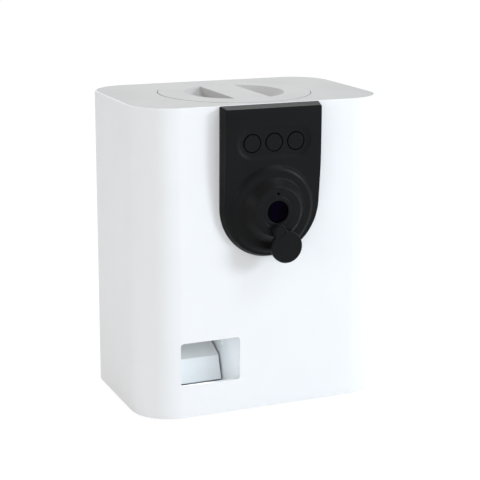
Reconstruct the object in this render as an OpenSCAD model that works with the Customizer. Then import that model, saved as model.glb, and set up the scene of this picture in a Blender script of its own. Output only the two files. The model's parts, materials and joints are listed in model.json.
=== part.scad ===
// Treat-tossing pet feeder with a camera: an upright white housing with a lift-off lid,
// a hopper, a dosing rotor and a kicker plate behind the outlet window.
// X runs to the right seen from the front, -Y is the front, Z is up, the floor is at zero.

/* [Housing] */
// Width of the housing across the front
housing_w = 160; // [144:1:190]
// Depth of the housing from front to back
housing_d = 108; // [97:0.5:125]
// Height of the housing above the floor
housing_h = 190; // [186:1:220]
// Radius of the four upright corners
corner_r = 25; // [20:0.5:28]
// Thickness of the housing wall
wall = 2.5; // [2:0.1:3]
// Height of the housing's lower edge above the floor
floor_gap = 1.5; // [1:0.1:2.5]
// Thickness of the base plate
base_t = 3; // [2.8:0.1:5]
// Thickness of the top cover
cover_t = 3; // [2.5:0.1:4]
// Radius of a rubber foot
foot_r = 7; // [5:0.5:9]
// Depth that a foot sits in the base plate
foot_seat = 1.5; // [0.8:0.1:2]
// Distance of a foot's middle from the housing's left or right side
foot_side = 24; // [22:1:40]
// Distance of a foot's middle from the housing's front or back
foot_end = 26; // [24:1:36]

/* [Lid] */
// Distance of the lid's edge from the housing's front and back
lid_edge = 6.6; // [6.6:0.1:9]
// Gap round the lid
lid_gap = 0.4; // [0.4:0.1:1]
// Thickness of the lid's disc
lid_t = 3.5; // [3:0.1:5]
// Radius of the finger dish at the lid's top
dish_r = 31; // [26:0.5:32]
// Depth of the finger dish at the middle
dish_depth = 13; // [10:0.5:14]
// Width of the grip bar between the two finger recesses
grip_w = 22.8; // [18:0.2:28]
// Wall of the lid's dish and skirt
lid_wall = 2; // [1.6:0.1:2.4]
// Depth of the lid's skirt below its disc
skirt_depth = 12.5; // [11:0.5:16]
// Height of the silicone ring round the skirt
seal_h = 3; // [2:0.5:4]

/* [Outlet] */
// Distance of the window's middle from the housing's left side
outlet_side = 42.5; // [40:0.5:44]
// Width of the outlet window
outlet_w = 38.4; // [34:0.2:40]
// Height of the window's sill above the floor
sill_z = 21.5; // [20:0.5:26]
// Height of the outlet window
outlet_h = 27; // [24:0.5:30]
// Corner radius of the outlet window
outlet_r = 2; // [1:0.5:4]
// Thickness of the chute's walls
chute_wall = 2; // [1.6:0.1:2.4]
// Height of the chute's top above the floor
chute_top = 62; // [58:0.5:66]
// Height of the chute's floor behind the ramp
chute_floor_z = 9.5; // [8.5:0.1:11]
// Run of the ramp behind the sill
ramp_run = 15; // [12:0.5:18]
// Gap between the chute and the housing's front wall
chute_gap = 0.6; // [0.55:0.05:1]
// Distance of the chute's back wall behind the kicker's axle
chute_back = 8; // [7:0.5:12]

/* [Kicker] */
// Distance of the kicker's axle behind the housing's front
axle_setback = 56; // [54:0.5:60]
// Height of the kicker's axle above the floor
axle_z = 37.5; // [36:0.5:40]
// Radius of the kicker's axle
axle_r = 2; // [1.5:0.1:2.5]
// Thickness of the kicker plate
kicker_t = 2; // [1.5:0.1:2.5]
// Length of the kicker's upper leaf from the axle to the bend
leaf_run = 26.8; // [24:0.2:28]
// Slope of the upper leaf below the level
leaf_slope = 26; // [22:0.5:30]
// Length of the kicker's lower leaf
blade_len = 15.2; // [12:0.2:16]
// Slope of the lower leaf below the level
blade_slope = 71; // [66:0.5:76]
// Gap between the kicker and each side of the chute
kicker_gap = 1.4; // [1:0.1:2]

/* [Dosing rotor] */
// Distance of the rotor's axis behind the housing's front
rotor_setback = 46; // [44:0.5:48]
// Radius of the rotor's bore
rotor_bore_r = 22; // [20:0.5:23]
// Gap between the vane tips and the bore
vane_gap = 0.7; // [0.5:0.1:1.2]
// Number of vanes
vane_count = 5; // [4:1:6]
// Thickness of a vane
vane_t = 2.2; // [1.6:0.1:3]
// Radius of the rotor's hub
hub_r = 7; // [6:0.5:9]
// Width of the opening above and below the rotor, front to back
throat_d = 32; // [28:0.5:34]
// Radius of the rotor's shaft
shaft_r = 3; // [2.5:0.1:3.5]
// Gear module
gear_module = 0.9; // [0.85:0.05:0.95]
// Teeth of the rotor's gear
gear_teeth = 42; // [38:2:42]
// Teeth of the motor's pinion
pinion_teeth = 14; // [14:2:16]
// Width of the gears
gear_w = 5; // [4:0.5:6]
// Play between the tooth flanks
backlash = 0.16; // [0.1:0.02:0.24]

/* [Motor and servo] */
// Radius of the gearbox
gearbox_r = 12.5; // [11:0.5:13]
// Length of the gearbox
gearbox_len = 22; // [18:1:26]
// Radius of the motor
motor_r = 12; // [10:0.5:12.5]
// Length of the motor
motor_len = 28; // [24:1:32]
// Distance of the motor screws from the motor's axis
motor_screw_r = 8.5; // [8:0.1:9.5]
// Thickness of the motor bracket
bracket_t = 2; // [1.5:0.1:2.5]
// Length of the servo's body along the chute
servo_l = 23; // [22:0.5:25]
// Height of the servo's body
servo_h = 12.2; // [11.5:0.1:13]
// Depth of the servo's body along its axis
servo_depth = 23; // [20:0.5:26]
// Distance of the servo's axis from the front end of its body
servo_axis_in = 5.9; // [5.8:0.1:6.4]

/* [Front panel] */
// Half width of the panel at the housing's front
panel_half = 31.5; // [30:0.1:33]
// Height of the panel above the housing's front
panel_proud = 7.5; // [7:0.1:9]
// Inset of the panel's edge over its height
panel_draft = 1.3; // [0.8:0.1:1.8]
// Distance of the middle of the panel's round end below the housing's top
panel_arc_drop = 60.4; // [58:0.2:63]
// Thickness of the panel's front
panel_wall = 2; // [1.8:0.1:2.2]
// Distance of the button row below the housing's top
button_drop = 22; // [21:0.2:23]
// Distance between neighbouring buttons
button_pitch = 14; // [13.4:0.1:14.6]
// Radius of a button's cap
button_r = 5; // [4.6:0.1:5.2]
// Gap round a button
button_gap = 0.4; // [0.3:0.05:0.5]
// Travel of a button
button_travel = 0.6; // [0.4:0.05:0.8]
// Height of the button recess
recess_h = 17.5; // [16:0.5:18.5]
// Depth of the button recess
recess_depth = 1.2; // [0.8:0.1:1.4]

/* [Camera] */
// Distance of the camera rings' middle below the housing's top
ring_drop = 60.7; // [59:0.1:62]
// Distance of the lens below the housing's top
lens_drop = 62.6; // [61.8:0.1:63.2]
// Foot radius of the outer ring
ring1_r = 26; // [25:0.1:27]
// Rise of the outer ring
ring1_rise = 3; // [2.4:0.1:3.4]
// Inset of the outer ring's flank
ring1_flank = 3.2; // [2:0.1:3.4]
// Foot radius of the inner ring
ring2_r = 18.4; // [18:0.1:19]
// Rise of the inner ring
ring2_rise = 2.9; // [2.5:0.1:3.4]
// Inset of the inner ring's flank
ring2_flank = 3.7; // [2.8:0.1:3.9]
// Radius of the lens opening
lens_open_r = 6.75; // [6:0.05:7.2]
// Radius of the lens window
glass_r = 7.9; // [7.6:0.05:8.2]
// Thickness of the lens window
glass_t = 1.2; // [0.8:0.1:1.3]
// Radius of the lens barrel
barrel_r = 5.5; // [5:0.1:6]
// Width and height of the camera board
camera_board_w = 27; // [26:0.5:28]
// Distance of the microphone hole and of the cover's pivot from the lens
pivot_arm = 11; // [10.8:0.1:11.4]
// Radius of the swivel cover's disc
cover_disc_r = 9.9; // [9:0.1:10.1]
// Thickness of the swivel cover
cover_disc_t = 2.6; // [2.2:0.1:3]
// Radius of the swivel cover's boss
cover_boss_r = 4.2; // [4:0.1:4.4]
// Angle of the open cover from straight down
cover_rest = 25; // [0:1:40]
// Radius of the cover's pin
pin_r = 1.9; // [1.5:0.1:2]

/* [Hopper] */
// Lap of the lid over the hopper's neck
lid_lap = 2.4; // [2.4:0.1:4]
// Wall of the hopper
hopper_wall = 2; // [1.6:0.1:2.2]
// Depth of the hopper's roof below the top cover
roof_drop = 15; // [15:0.5:18]
// Gap between the hopper and the housing's left side
hopper_left_in = 14; // [14:0.5:19]
// Gap between the hopper and the housing's right side
hopper_right_in = 20; // [18:0.5:26]
// Gap between the hopper's front and the housing's front
hopper_front_in = 10; // [9:0.5:12]
// Gap between the hopper's back and the housing's back
hopper_back_in = 8; // [7:0.5:12]
// Height of the straight part of the hopper's right side
hopper_side_h = 22; // [18:0.5:24]

/* [Electronics] */
// Gap between the main board and the housing's right side
board_side = 16; // [14:0.5:18]
// Width of the main board
board_w = 62; // [58:0.5:64]
// Lower edge of the main board
board_z = 24; // [23:0.5:28]
// Height of the main board
board_h = 72; // [66:0.5:76]
// Thickness of the circuit boards
board_t = 1.6; // [1.2:0.1:2]
// Height of the main board's standoffs
standoff_h = 5.3; // [4:0.1:6]
// Distance of the speaker's middle from the housing's left side
speaker_side = 43; // [38:0.5:44]
// Height of the speaker's middle
speaker_z = 60; // [52:0.5:70]
// Radius of the speaker
speaker_r = 18; // [16:0.5:19]
// Radius of a hole in the speaker grille
grille_hole_r = 1; // [0.8:0.05:1.3]
// Distance of the power jack from the housing's right side
jack_side = 34; // [33:0.5:40]
// Height of the power jack
jack_z = 14; // [13:0.1:15]
// Radius of the power jack's body
jack_r = 5.5; // [5:0.1:6]
// Radius of the power jack's bore
jack_bore_r = 2.8; // [2.7:0.05:3]

/* [Fits] */
// Gap between fixed pieces that slide together on assembly
fit_gap = 0.25; // [0.15:0.05:0.35]
// Radial play of a turning fit
run_gap = 0.05; // [0.02:0.01:0.1]
// Gap between a moving piece and its seat
seat_gap = 0.2; // [0.1:0.05:0.3]
// Radius of a large screw's shank
screw_r = 1.45; // [1.2:0.05:1.6]
// Radius of a large screw's head
screw_head_r = 2.8; // [2.4:0.1:3]
// Radius of a small screw's shank
small_screw_r = 0.95; // [0.8:0.05:1]
// Radius of a small screw's head
small_head_r = 1.8; // [1.5:0.1:2]
// Gap round a screw's shank in its hole
screw_gap = 0.05; // [0.03:0.01:0.1]

/* [Hidden] */
$fn = 64;

// A cut that runs past a face by this much, and joined shapes that run into each other
over = 1;
bite = 0.5;
// Room past a screw's tip
tip_room = 1;

// Housing
front_y = -housing_d / 2;
back_y = housing_d / 2;
inner_w = housing_w - 2 * wall;
inner_d = housing_d - 2 * wall;
inner_r = corner_r - wall;
front_in = front_y + wall;
back_in = back_y - wall;
base_z = floor_gap + base_t;
cover_z = housing_h - cover_t;
foot_x = housing_w / 2 - foot_side;
foot_y = housing_d / 2 - foot_end;
foot_h = floor_gap + foot_seat;
post_r = 4.5;
post_gap = 1;
post_out = (inner_r - post_r - post_gap) / sqrt(2);
post_x = housing_w / 2 - corner_r + post_out;
post_y = housing_d / 2 - corner_r + post_out;
post_h = 12;
web_t = 3;
tab_t = 3;
tab_drop = 5;
tab_z = cover_z - tab_drop - tab_t;
tab_r = inner_r - post_out * sqrt(2) + 0.6 * wall;
cover_post_r = 4;
head_h = 1.6;
sink = 1.8;
small_head_h = 1;
small_hole = 4.5;
groove_w = 0.6;
groove_depth = 0.2;
rim_lap = 0.55 * wall;
rim_sink = 0.4 * cover_t;

// Lid
lid_r = housing_d / 2 - lid_edge;
lid_hole_r = lid_r + lid_gap;
lid_under = housing_h - lid_t;
dish_ball = (dish_r * dish_r + dish_depth * dish_depth) / (2 * dish_depth);
dish_centre = housing_h + dish_ball - dish_depth;
neck_r = lid_r - lid_lap;
seal_gap = 0.3;
seal_bed = 0.1;
seal_in = 1.2;
skirt_gap = 1.4;
skirt_r = neck_r - skirt_gap;
seal_z = lid_under - 0.6 * skirt_depth;

// Outlet, chute and kicker
outlet_x = outlet_side - housing_w / 2;
rotor_y = front_y + rotor_setback;
chute_x0 = outlet_x - outlet_w / 2 - fit_gap;
chute_x1 = outlet_x + outlet_w / 2 + fit_gap;
chute_front = front_in + chute_gap;
axle_y = front_y + axle_setback;
chute_back_y = axle_y + chute_back;
servo_boss_r = 2.1;
servo_tab_l = 4.6;
servo_hole_in = servo_tab_l / 2;
servo_y0 = axle_y - servo_axis_in;
servo_y1 = servo_y0 + servo_l;
servo_hole_y = [servo_y0 - servo_hole_in, servo_y1 + servo_hole_in];
servo_hole = 8;
side_back_y = servo_y1 + servo_hole_in + servo_boss_r;
opening_lip = 0.6;
chute_post_r = 3.6;
chute_post_h = 10;
post_bite = 0.2;
chute_post_x = [
    chute_x0 - chute_wall - chute_post_r + post_bite,
    chute_x1 + chute_wall + chute_post_r - post_bite
];
chute_post_front = 16;
chute_post_back = 4;
chute_post_y = [axle_y - chute_post_front, axle_y + chute_post_back];
hub_wall = 2;
kicker_hub_r = axle_r + hub_wall;
kicker_x0 = chute_x0 + kicker_gap;
kicker_x1 = chute_x1 - kicker_gap;
bend_y = axle_y - leaf_run * cos(leaf_slope);
leaf_drop = 2.6;
bend_z = axle_z + kicker_hub_r - leaf_drop - leaf_run * sin(leaf_slope);
tip_y = bend_y - blade_len * cos(blade_slope);
tip_z = bend_z - blade_len * sin(blade_slope);
sensor_r = 2.5;
sensor_bulge = 1;
sensor_in = 30;
sensor_up = 14.5;
sensor_y = front_y + sensor_in;
sensor_z = sill_z + sensor_up;
sensor_ball = (sensor_r * sensor_r + sensor_bulge * sensor_bulge) / (2 * sensor_bulge);
sensor_len = 4.5;

// Rotor
housing_wall = 2;
rotor_under = 4;
rotor_over = 2;
rotor_z = chute_top + rotor_bore_r + rotor_under;
rotor_top = rotor_z + rotor_bore_r + rotor_over;
rotor_y0 = rotor_y - rotor_bore_r - housing_wall;
rotor_y1 = rotor_y + rotor_bore_r + housing_wall;
cheek_x0 = chute_x0 - chute_wall;
cheek_x1 = chute_x1 + chute_wall;
throat_y0 = rotor_y - throat_d / 2;
throat_y1 = rotor_y + throat_d / 2;
vane_r = rotor_bore_r - vane_gap;
bush_wall = 2;
bush_r = shaft_r + run_gap + bush_wall;
bush_flange = 1;
flange_lap = 1.5;
flange_r = bush_r + flange_lap;
gear_gap = 1;
gear_x = cheek_x1 + bush_flange + gear_gap;
gear_pitch_r = gear_module * gear_teeth / 2;
pinion_pitch_r = gear_module * pinion_teeth / 2;
pinion_y = rotor_y + gear_pitch_r + pinion_pitch_r;
pressure_angle = 25;
bed = 0.02;
ear_r = 3.5;
ear_h = 8;
chute_ear_h = 10;
ear_x = [cheek_x0 - ear_r + post_bite, cheek_x1 + ear_r - post_bite];
ear_in = 6;
ear_y = [rotor_y0 + ear_in, rotor_y1 - ear_in];
ear_spots = [[ear_x[0], ear_y[0]], [ear_x[0], ear_y[1]], [ear_x[1], ear_y[0]]];
clip_t = 0.8;
clip_w = 2;
clip_play = 0.15;
shaft_end = 1;

// Motor and servo
bracket_gap = 3;
bracket_x = gear_x + gear_w + bracket_gap;
gearbox_x = bracket_x + bracket_t;
motor_x = gearbox_x + gearbox_len;
motor_shaft_r = 2;
output_boss_r = 3.5;
output_boss_h = bracket_t + bite;
shaft_depth = 6;
bracket_post_r = 3.5;
bracket_post_in = 5;
bracket_post_up = 7;
bracket_post_y = rotor_y1 - bracket_post_in;
bracket_post_z = [chute_top + bracket_post_up, rotor_top - bracket_post_in];
bracket_edge = 5;
bracket_hole = 8;
motor_hole = 5;
motor_boss_r = 4;
motor_boss_h = 2;
terminal_y = pinion_y + motor_r / 2;
terminal_out = 5;
terminal_z = [rotor_z - terminal_out, rotor_z + terminal_out];
terminal_w = 2;
terminal_t = 0.6;
terminal_l = 4;
servo_boss_face = 5.9;
servo_spline_r = 2.3;
spline_len = 3;
horn_r = 4.5;
horn_len = 5.5;
horn_gap = 1.5;
horn_x = cheek_x1 + horn_gap;
servo_boss_x = horn_x + horn_len + seat_gap;
servo_boss_h = 4;
servo_x = servo_boss_x + servo_boss_h;
servo_tab_in = 4;
servo_tab_x = servo_x + servo_tab_in;
servo_tab_t = 2.5;

// Front panel and camera, as heights above the housing's front
panel_top_gap = 0.2;
panel_top_z = housing_h - panel_top_gap;
arc_z = housing_h - panel_arc_drop;
inner_face = panel_proud - panel_wall;
button_z = housing_h - button_drop;
button_x = [-button_pitch, 0, button_pitch];
recess_face = panel_proud - recess_depth;
recess_back = recess_face - panel_wall;
button_proud = 0.4;
button_front = recess_face + button_proud;
button_flange_t = 0.9;
button_lap = 1.1;
button_flange_r = button_r + button_lap;
button_back = recess_back - seat_gap - button_flange_t;
switch_gap = 0.15;
switch_tip = button_back - button_travel - switch_gap;
switch_tip_r = 1.75;
switch_tip_h = 0.5;
switch_w = 6;
switch_h = 3.5;
button_board_front = switch_tip - switch_tip_h - switch_h;
button_board_w = 39;
button_board_h = 20;
button_post_r = 2.2;
button_post_x = button_pitch / 2;
button_post_drop = 7.6;
ring_z = housing_h - ring_drop;
lens_z = housing_h - lens_drop;
ring1_top = panel_proud + ring1_rise;
ring2_top = ring1_top + ring2_rise;
ring_wall = 2.2;
nose_wall = 2.6;
ring_hollow_r = ring1_r - ring1_flank - ring_wall;
ring_hollow_top = ring1_top - ring_wall;
nose_hollow_r = ring2_r - ring2_flank - nose_wall;
nose_hollow_top = ring2_top - ring_wall;
mic_z = lens_z + pivot_arm;
pivot_z = lens_z - pivot_arm;
mic_hole_r = 0.9;
mic_r = 2;
mic_h = 2;
pocket_r = 3.8;
trim_r = 10.3;
trim_w = 0.5;
trim_depth = 0.4;
camera_board_front = 2;
lens_in = 2.5;
barrel_wall = 1.4;
front_lens_t = 1.4;
camera_board_t = 1.2;
camera_post_r = 2.2;
camera_post_off = camera_board_w / 2 - camera_post_r;
cover_spacer_h = 0.6;
cover_back = ring2_top + cover_spacer_h + seat_gap;
cover_front = cover_back + cover_disc_t;
pin_lap = 1.2;
pin_head_r = pin_r + pin_lap;
pin_head_h = 0.8;
pin_len = 7;
panel_post_r = 3;
panel_post_in = 6;
panel_post_drop = 6.6;
low_post_x = 12;
low_post_drop = 23.1;
panel_posts = [
    for (s = [-1, 1])
        [s * (panel_half - panel_post_in), housing_h - panel_post_drop],
    for (s = [-1, 1])
        [s * low_post_x, arc_z - low_post_drop]
];
cutout_half = 21;
cutout_low = 2;
cutout_high = 0.6;
cutout_z0 = lens_z - camera_board_w / 2 - cutout_low;
cutout_z1 = button_z + button_board_h / 2 + cutout_high;
panel_screw_len = 6;

// Hopper
lid_seat_z = lid_under - seat_gap;
flange_lap_out = 2.8;
flange_out = min(lid_hole_r + flange_lap_out, inner_d / 2 - chute_gap);
flange_t = 3;
roof_z = cover_z - roof_drop;
bin_x0 = hopper_left_in - housing_w / 2;
bin_x1 = housing_w / 2 - hopper_right_in;
bin_y0 = front_y + hopper_front_in;
bin_y1 = back_y - hopper_back_in;
front_fall = 24;
back_fall = 30;
left_fall = 12;
throat_h = [4, 2];

// Electronics, as depths in front of the housing's back wall
board_x = housing_w / 2 - board_side - board_w;
board_y = back_in - standoff_h;
standoff_r = 3;
// Place on the main board, width, height and thickness of its larger parts
processor = [22, 34, 14, 14, 1.6];
memory = [10, 50, 8, 8, 1.2];
radio = [40, 24, 18, 20, 3];
supply = [44, 12, 10, 8, 5];
capacitor_x = [14, 26];
capacitor_up = 20;
capacitor_r = 4;
capacitor_h = 9;
standoff_in = 5;
standoff_x = [board_x + standoff_in, board_x + board_w - standoff_in];
standoff_z = [board_z + standoff_in, board_z + board_h - standoff_in];
speaker_x = speaker_side - housing_w / 2;
speaker_flange_t = 1.5;
speaker_depth = 7;
magnet_r = 9;
magnet_h = 5;
speaker_post_r = 3;
speaker_post_at = speaker_r + speaker_post_r + bite;
speaker_head_r = 4.2;
speaker_turns = [90, 210, 330];
speaker_rim = 2;
cone_t = 1.2;
coil_r = 5;
grille_pitch = 3.6;
grille_rings = 3;
jack_x = housing_w / 2 - jack_side;
jack_len = 12;
jack_lap = 1.2;
jack_flange_r = jack_r + jack_lap;
jack_flange_t = 1;
jack_pin_r = 1;
jack_bore = 9;
nut_wall = 2;
nut_r = jack_r + nut_wall;
nut_t = 2.4;

// Flat leads: width across and thickness
ribbon_x = 2;
ribbon_w = 10;
ribbon_t = 0.4;
lead_w = 2.6;
lead_t = 1.2;
lead_bend = 4;
lead_side = 6;
lead_room = 2;

// A rectangle with round corners, built from squares and circles
module rounded_rect(w, d, r) {
    square([w - 2 * r, d], center = true);
    square([w, d - 2 * r], center = true);
    for (sx = [-1, 1], sy = [-1, 1])
        translate([sx * (w / 2 - r), sy * (d / 2 - r)])
            circle(r);
}

// A slot with two round ends
module pill(w, h) {
    square([w - h, h], center = true);
    for (s = [-1, 1])
        translate([s * (w - h) / 2, 0])
            circle(h / 2);
}

// Places children on the housing's front: their Z points out of it
module on_front(x, z) {
    translate([x, front_y, z])
        rotate([90, 0, 0])
            children();
}

// Places children on the inside of the back wall: their Z points into the housing
module on_back(x, z) {
    translate([x, back_in, z])
        rotate([90, 0, 0])
            children();
}

// Places children with their Z along the machine's X
module along_x(x, y, z) {
    translate([x, y, z])
        rotate([0, 90, 0])
            children();
}

// Extrudes an outline drawn in Y and Z from x0 to x1
module across(x0, x1) {
    translate([x0, 0, 0])
        rotate([90, 0, 90])
            linear_extrude(x1 - x0)
                children();
}

// Extrudes an outline drawn in X and Z from y0 to y1
module along_y(y0, y1) {
    translate([0, y1, 0])
        rotate([90, 0, 0])
            linear_extrude(y1 - y0)
                children();
}

// A box between two corners
module block(low, high) {
    translate(low)
        cube(high - low);
}

// Copies children to the four corner posts
module at_posts() {
    for (sx = [-1, 1], sy = [-1, 1])
        translate([sx * post_x, sy * post_y, 0])
            children();
}

// A pan-head screw that points up, its head's seat at zero
module screw(r, head, h, len) {
    cylinder(r = r, h = len);
    translate([0, 0, -h])
        cylinder(r = head, h = h);
}

// A strip of even thickness along a list of points
function strip_side(p, i) =
    let (a = p[max(i - 1, 0)], b = p[i], c = p[min(i + 1, len(p) - 1)])
    let (u = i == 0 ? (c - b) / norm(c - b) : (b - a) / norm(b - a))
    let (v = i == len(p) - 1 ? u : (c - b) / norm(c - b))
    let (m = (u + v) / norm(u + v))
    [-m[1], m[0]] / (m * u);
module strip(p, t) {
    up = [for (i = [0:len(p) - 1]) p[i] + strip_side(p, i) * t / 2];
    down = [for (i = [len(p) - 1:-1:0]) p[i] - strip_side(p, i) * t / 2];
    polygon(concat(up, down));
}

// A spur gear's outline with straight-sided steps along each involute flank
function roll(ratio) = ratio <= 1 ? 0 : sqrt(ratio * ratio - 1) * 180 / PI;
function involute(ratio) = roll(ratio) - atan(roll(ratio) * PI / 180);
module gear_outline(teeth, play) {
    pitch_r = gear_module * teeth / 2;
    base_r = pitch_r * cos(pressure_angle);
    tip_r = pitch_r + 0.92 * gear_module;
    root_r = pitch_r - 1.22 * gear_module;
    start_r = max(base_r, root_r + 0.1 * gear_module);
    half = 90 / teeth - play / 4 / pitch_r * 180 / PI + involute(1 / cos(pressure_angle));
    radii = [start_r, (start_r + pitch_r) / 2, pitch_r, (pitch_r + tip_r) / 2, tip_r];
    flank = [for (r = radii) [r, half - involute(r / base_r)]];
    right = concat([[root_r, flank[0][1]]], flank);
    tooth = concat([for (q = right) [q[0], -q[1]]], [for (i = [len(right) - 1:-1:0]) right[i]]);
    polygon([for (i = [0:teeth - 1], q = tooth)
        q[0] * [cos(q[1] + i * 360 / teeth), sin(q[1] + i * 360 / teeth)]]);
}

// The panel's U-shaped body, drawn inwards by an inset and cut off at a height
module panel_body(inset, height) {
    top = panel_top_z - inset;
    slope = panel_draft / panel_proud;
    half = panel_half - inset;
    end = half - slope * height;
    intersection() {
        translate([0, front_y, arc_z])
            linear_extrude(top - arc_z)
                polygon([[-half, 0], [half, 0], [end, -height], [-end, -height]]);
        across(-half, half)
            polygon([[front_y, arc_z], [front_y, top],
                [front_y - height, top - slope * height], [front_y - height, arc_z]]);
    }
    on_front(0, arc_z)
        cylinder(r1 = half, r2 = end, h = height);
}

module housing_shell() {
    color("white")
    difference() {
        union() {
            translate([0, 0, floor_gap])
                linear_extrude(housing_h - floor_gap)
                    difference() {
                        rounded_rect(housing_w, housing_d, corner_r);
                        rounded_rect(inner_w, inner_d, inner_r);
                    }
            at_posts()
                translate([0, 0, base_z])
                    cylinder(r = post_r, h = post_h);
            for (sx = [-1, 1], sy = [-1, 1])
                translate([sx * post_x, sy * post_y, base_z])
                    rotate([0, 0, atan2(sy, sx)])
                        translate([0, -web_t / 2, 0])
                            cube([tab_r, web_t, post_h]);
            at_posts()
                translate([0, 0, tab_z])
                    cylinder(r = tab_r, h = tab_t);
            for (x = standoff_x, z = standoff_z)
                on_back(x, z)
                    translate([0, 0, -bite])
                        cylinder(r = standoff_r, h = standoff_h + bite);
            on_back(speaker_x, speaker_z)
                for (a = speaker_turns)
                    rotate([0, 0, a])
                        translate([speaker_post_at, 0, -bite])
                            cylinder(r = speaker_post_r, h = speaker_flange_t + seat_gap + bite);
        }
        translate([0, 0, housing_h - rim_sink])
            linear_extrude(rim_sink + over)
                rounded_rect(inner_w + 2 * rim_lap, inner_d + 2 * rim_lap, inner_r + rim_lap);
        on_front(outlet_x, sill_z + outlet_h / 2)
            translate([0, 0, -wall - over])
                linear_extrude(wall + 2 * over)
                    rounded_rect(outlet_w, outlet_h, outlet_r);
        block([-cutout_half, front_y - over, cutout_z0], [cutout_half, front_in + over, cutout_z1]);
        for (p = panel_posts)
            on_front(p[0], p[1])
                translate([0, 0, -wall - over])
                    cylinder(r = screw_r + screw_gap, h = wall + 2 * over);
        at_posts()
            translate([0, 0, base_z - over])
                cylinder(r = screw_r + screw_gap, h = post_h - tip_room + over);
        at_posts()
            translate([0, 0, tab_z - over])
                cylinder(r = screw_r + screw_gap, h = tab_t + 2 * over);
        for (x = standoff_x, z = standoff_z)
            on_back(x, z)
                cylinder(r = small_screw_r + screw_gap, h = standoff_h + over);
        on_back(speaker_x, speaker_z)
            for (a = speaker_turns)
                rotate([0, 0, a])
                    translate([speaker_post_at, 0, -wall + bite])
                        cylinder(r = small_screw_r + screw_gap, h = wall + speaker_flange_t + over);
        on_back(speaker_x, speaker_z)
            for (k = [0:grille_rings], j = [0:max(6 * k - 1, 0)])
                rotate([0, 0, k == 0 ? 0 : j * 60 / k])
                    translate([k * grille_pitch, 0, -wall - over])
                        cylinder(r = grille_hole_r, h = wall + 2 * over);
        on_back(jack_x, jack_z)
            translate([0, 0, -wall - over])
                cylinder(r = jack_r + fit_gap, h = wall + 2 * over);
    }
}

module base_plate() {
    color("gainsboro")
    difference() {
        translate([0, 0, floor_gap])
            linear_extrude(base_t)
                rounded_rect(inner_w - 2 * fit_gap, inner_d - 2 * fit_gap, inner_r - fit_gap);
        for (sx = [-1, 1], sy = [-1, 1])
            translate([sx * foot_x, sy * foot_y, floor_gap - over])
                cylinder(r = foot_r + fit_gap, h = foot_seat + over);
        at_posts()
            base_hole();
        for (x = chute_post_x, y = chute_post_y)
            translate([x, y, 0])
                base_hole();
    }
}

// A screw hole with a sunk seat in the base plate's underside
module base_hole() {
    translate([0, 0, floor_gap - over])
        cylinder(r = screw_r + screw_gap, h = base_t + 2 * over);
    translate([0, 0, floor_gap - over])
        cylinder(r = screw_head_r + fit_gap, h = sink + over);
}

module rubber_feet() {
    color("dimgray")
    for (sx = [-1, 1], sy = [-1, 1])
        translate([sx * foot_x, sy * foot_y, 0])
            cylinder(r = foot_r, h = foot_h);
}

module base_screws() {
    color("silver")
    at_posts()
        translate([0, 0, floor_gap + sink])
            screw(screw_r, screw_head_r, head_h, base_t - sink + post_h - 2 * tip_room);
}

module top_cover() {
    color("lightgray")
    difference() {
        union() {
            translate([0, 0, cover_z])
                linear_extrude(cover_t)
                    rounded_rect(inner_w - 2 * fit_gap, inner_d - 2 * fit_gap, inner_r - fit_gap);
            translate([0, 0, housing_h - rim_sink + seat_gap])
                linear_extrude(rim_sink - seat_gap)
                    rounded_rect(
                        inner_w + 2 * (rim_lap - fit_gap), inner_d + 2 * (rim_lap - fit_gap),
                        inner_r + rim_lap - fit_gap
                    );
            at_posts()
                translate([0, 0, cover_z - tab_drop])
                    cylinder(r = cover_post_r, h = tab_drop + over);
        }
        translate([0, 0, cover_z - over])
            cylinder(r = lid_hole_r, h = cover_t + 2 * over);
        translate([0, 0, housing_h - groove_depth])
            cylinder(r1 = lid_hole_r, r2 = lid_hole_r + groove_w, h = groove_depth + 0.001);
        at_posts()
            translate([0, 0, cover_z - tab_drop - over])
                cylinder(r = screw_r + screw_gap, h = tab_drop + over + tip_room);
    }
}

module cover_screws() {
    color("silver")
    at_posts()
        translate([0, 0, tab_z])
            screw(screw_r, screw_head_r, head_h, tab_t + tab_drop);
}

// The round dish that the finger recesses are cut from, thickened downwards by a wall
module dish(extra, top) {
    rotate_extrude($fn = 96)
        intersection() {
            translate([0, dish_centre])
                circle(r = dish_ball + extra, $fn = 96);
            translate([0, lid_under - skirt_depth])
                square([lid_r, top - lid_under + skirt_depth]);
        }
}

// Everything to both sides of the grip bar, drawn in by an inset
module beside_grip(inset, low, high) {
    half = grip_w / 2 - inset;
    for (s = [-1, 1])
        block([s > 0 ? half : -lid_r, -lid_r, low], [s > 0 ? lid_r : -half, lid_r, high]);
}

module lid() {
    color("lightgray")
    difference() {
        union() {
            translate([0, 0, lid_under])
                cylinder(r = lid_r, h = lid_t);
            intersection() {
                dish(lid_wall, lid_under + bite);
                beside_grip(lid_wall, lid_under - skirt_depth, housing_h);
            }
            translate([0, 0, lid_under - skirt_depth])
                difference() {
                    cylinder(r = skirt_r, h = skirt_depth + bite);
                    translate([0, 0, -over])
                        cylinder(r = skirt_r - lid_wall, h = skirt_depth + 3 * over);
                }
        }
        intersection() {
            dish(0, housing_h + over);
            beside_grip(0, lid_under - skirt_depth, housing_h + 2 * over);
        }
        translate([0, 0, seal_z])
            difference() {
                cylinder(r = skirt_r + over, h = seal_h + 2 * seal_bed);
                translate([0, 0, -over])
                    cylinder(r = skirt_r - seal_in, h = seal_h + 3 * over);
            }
    }
}

module lid_seal() {
    color("gray")
    translate([0, 0, seal_z + seal_bed])
        difference() {
            cylinder(r = neck_r - seal_gap, h = seal_h);
            translate([0, 0, -over])
                cylinder(r = skirt_r - seal_in + seal_bed, h = seal_h + 2 * over);
        }
}

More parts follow.
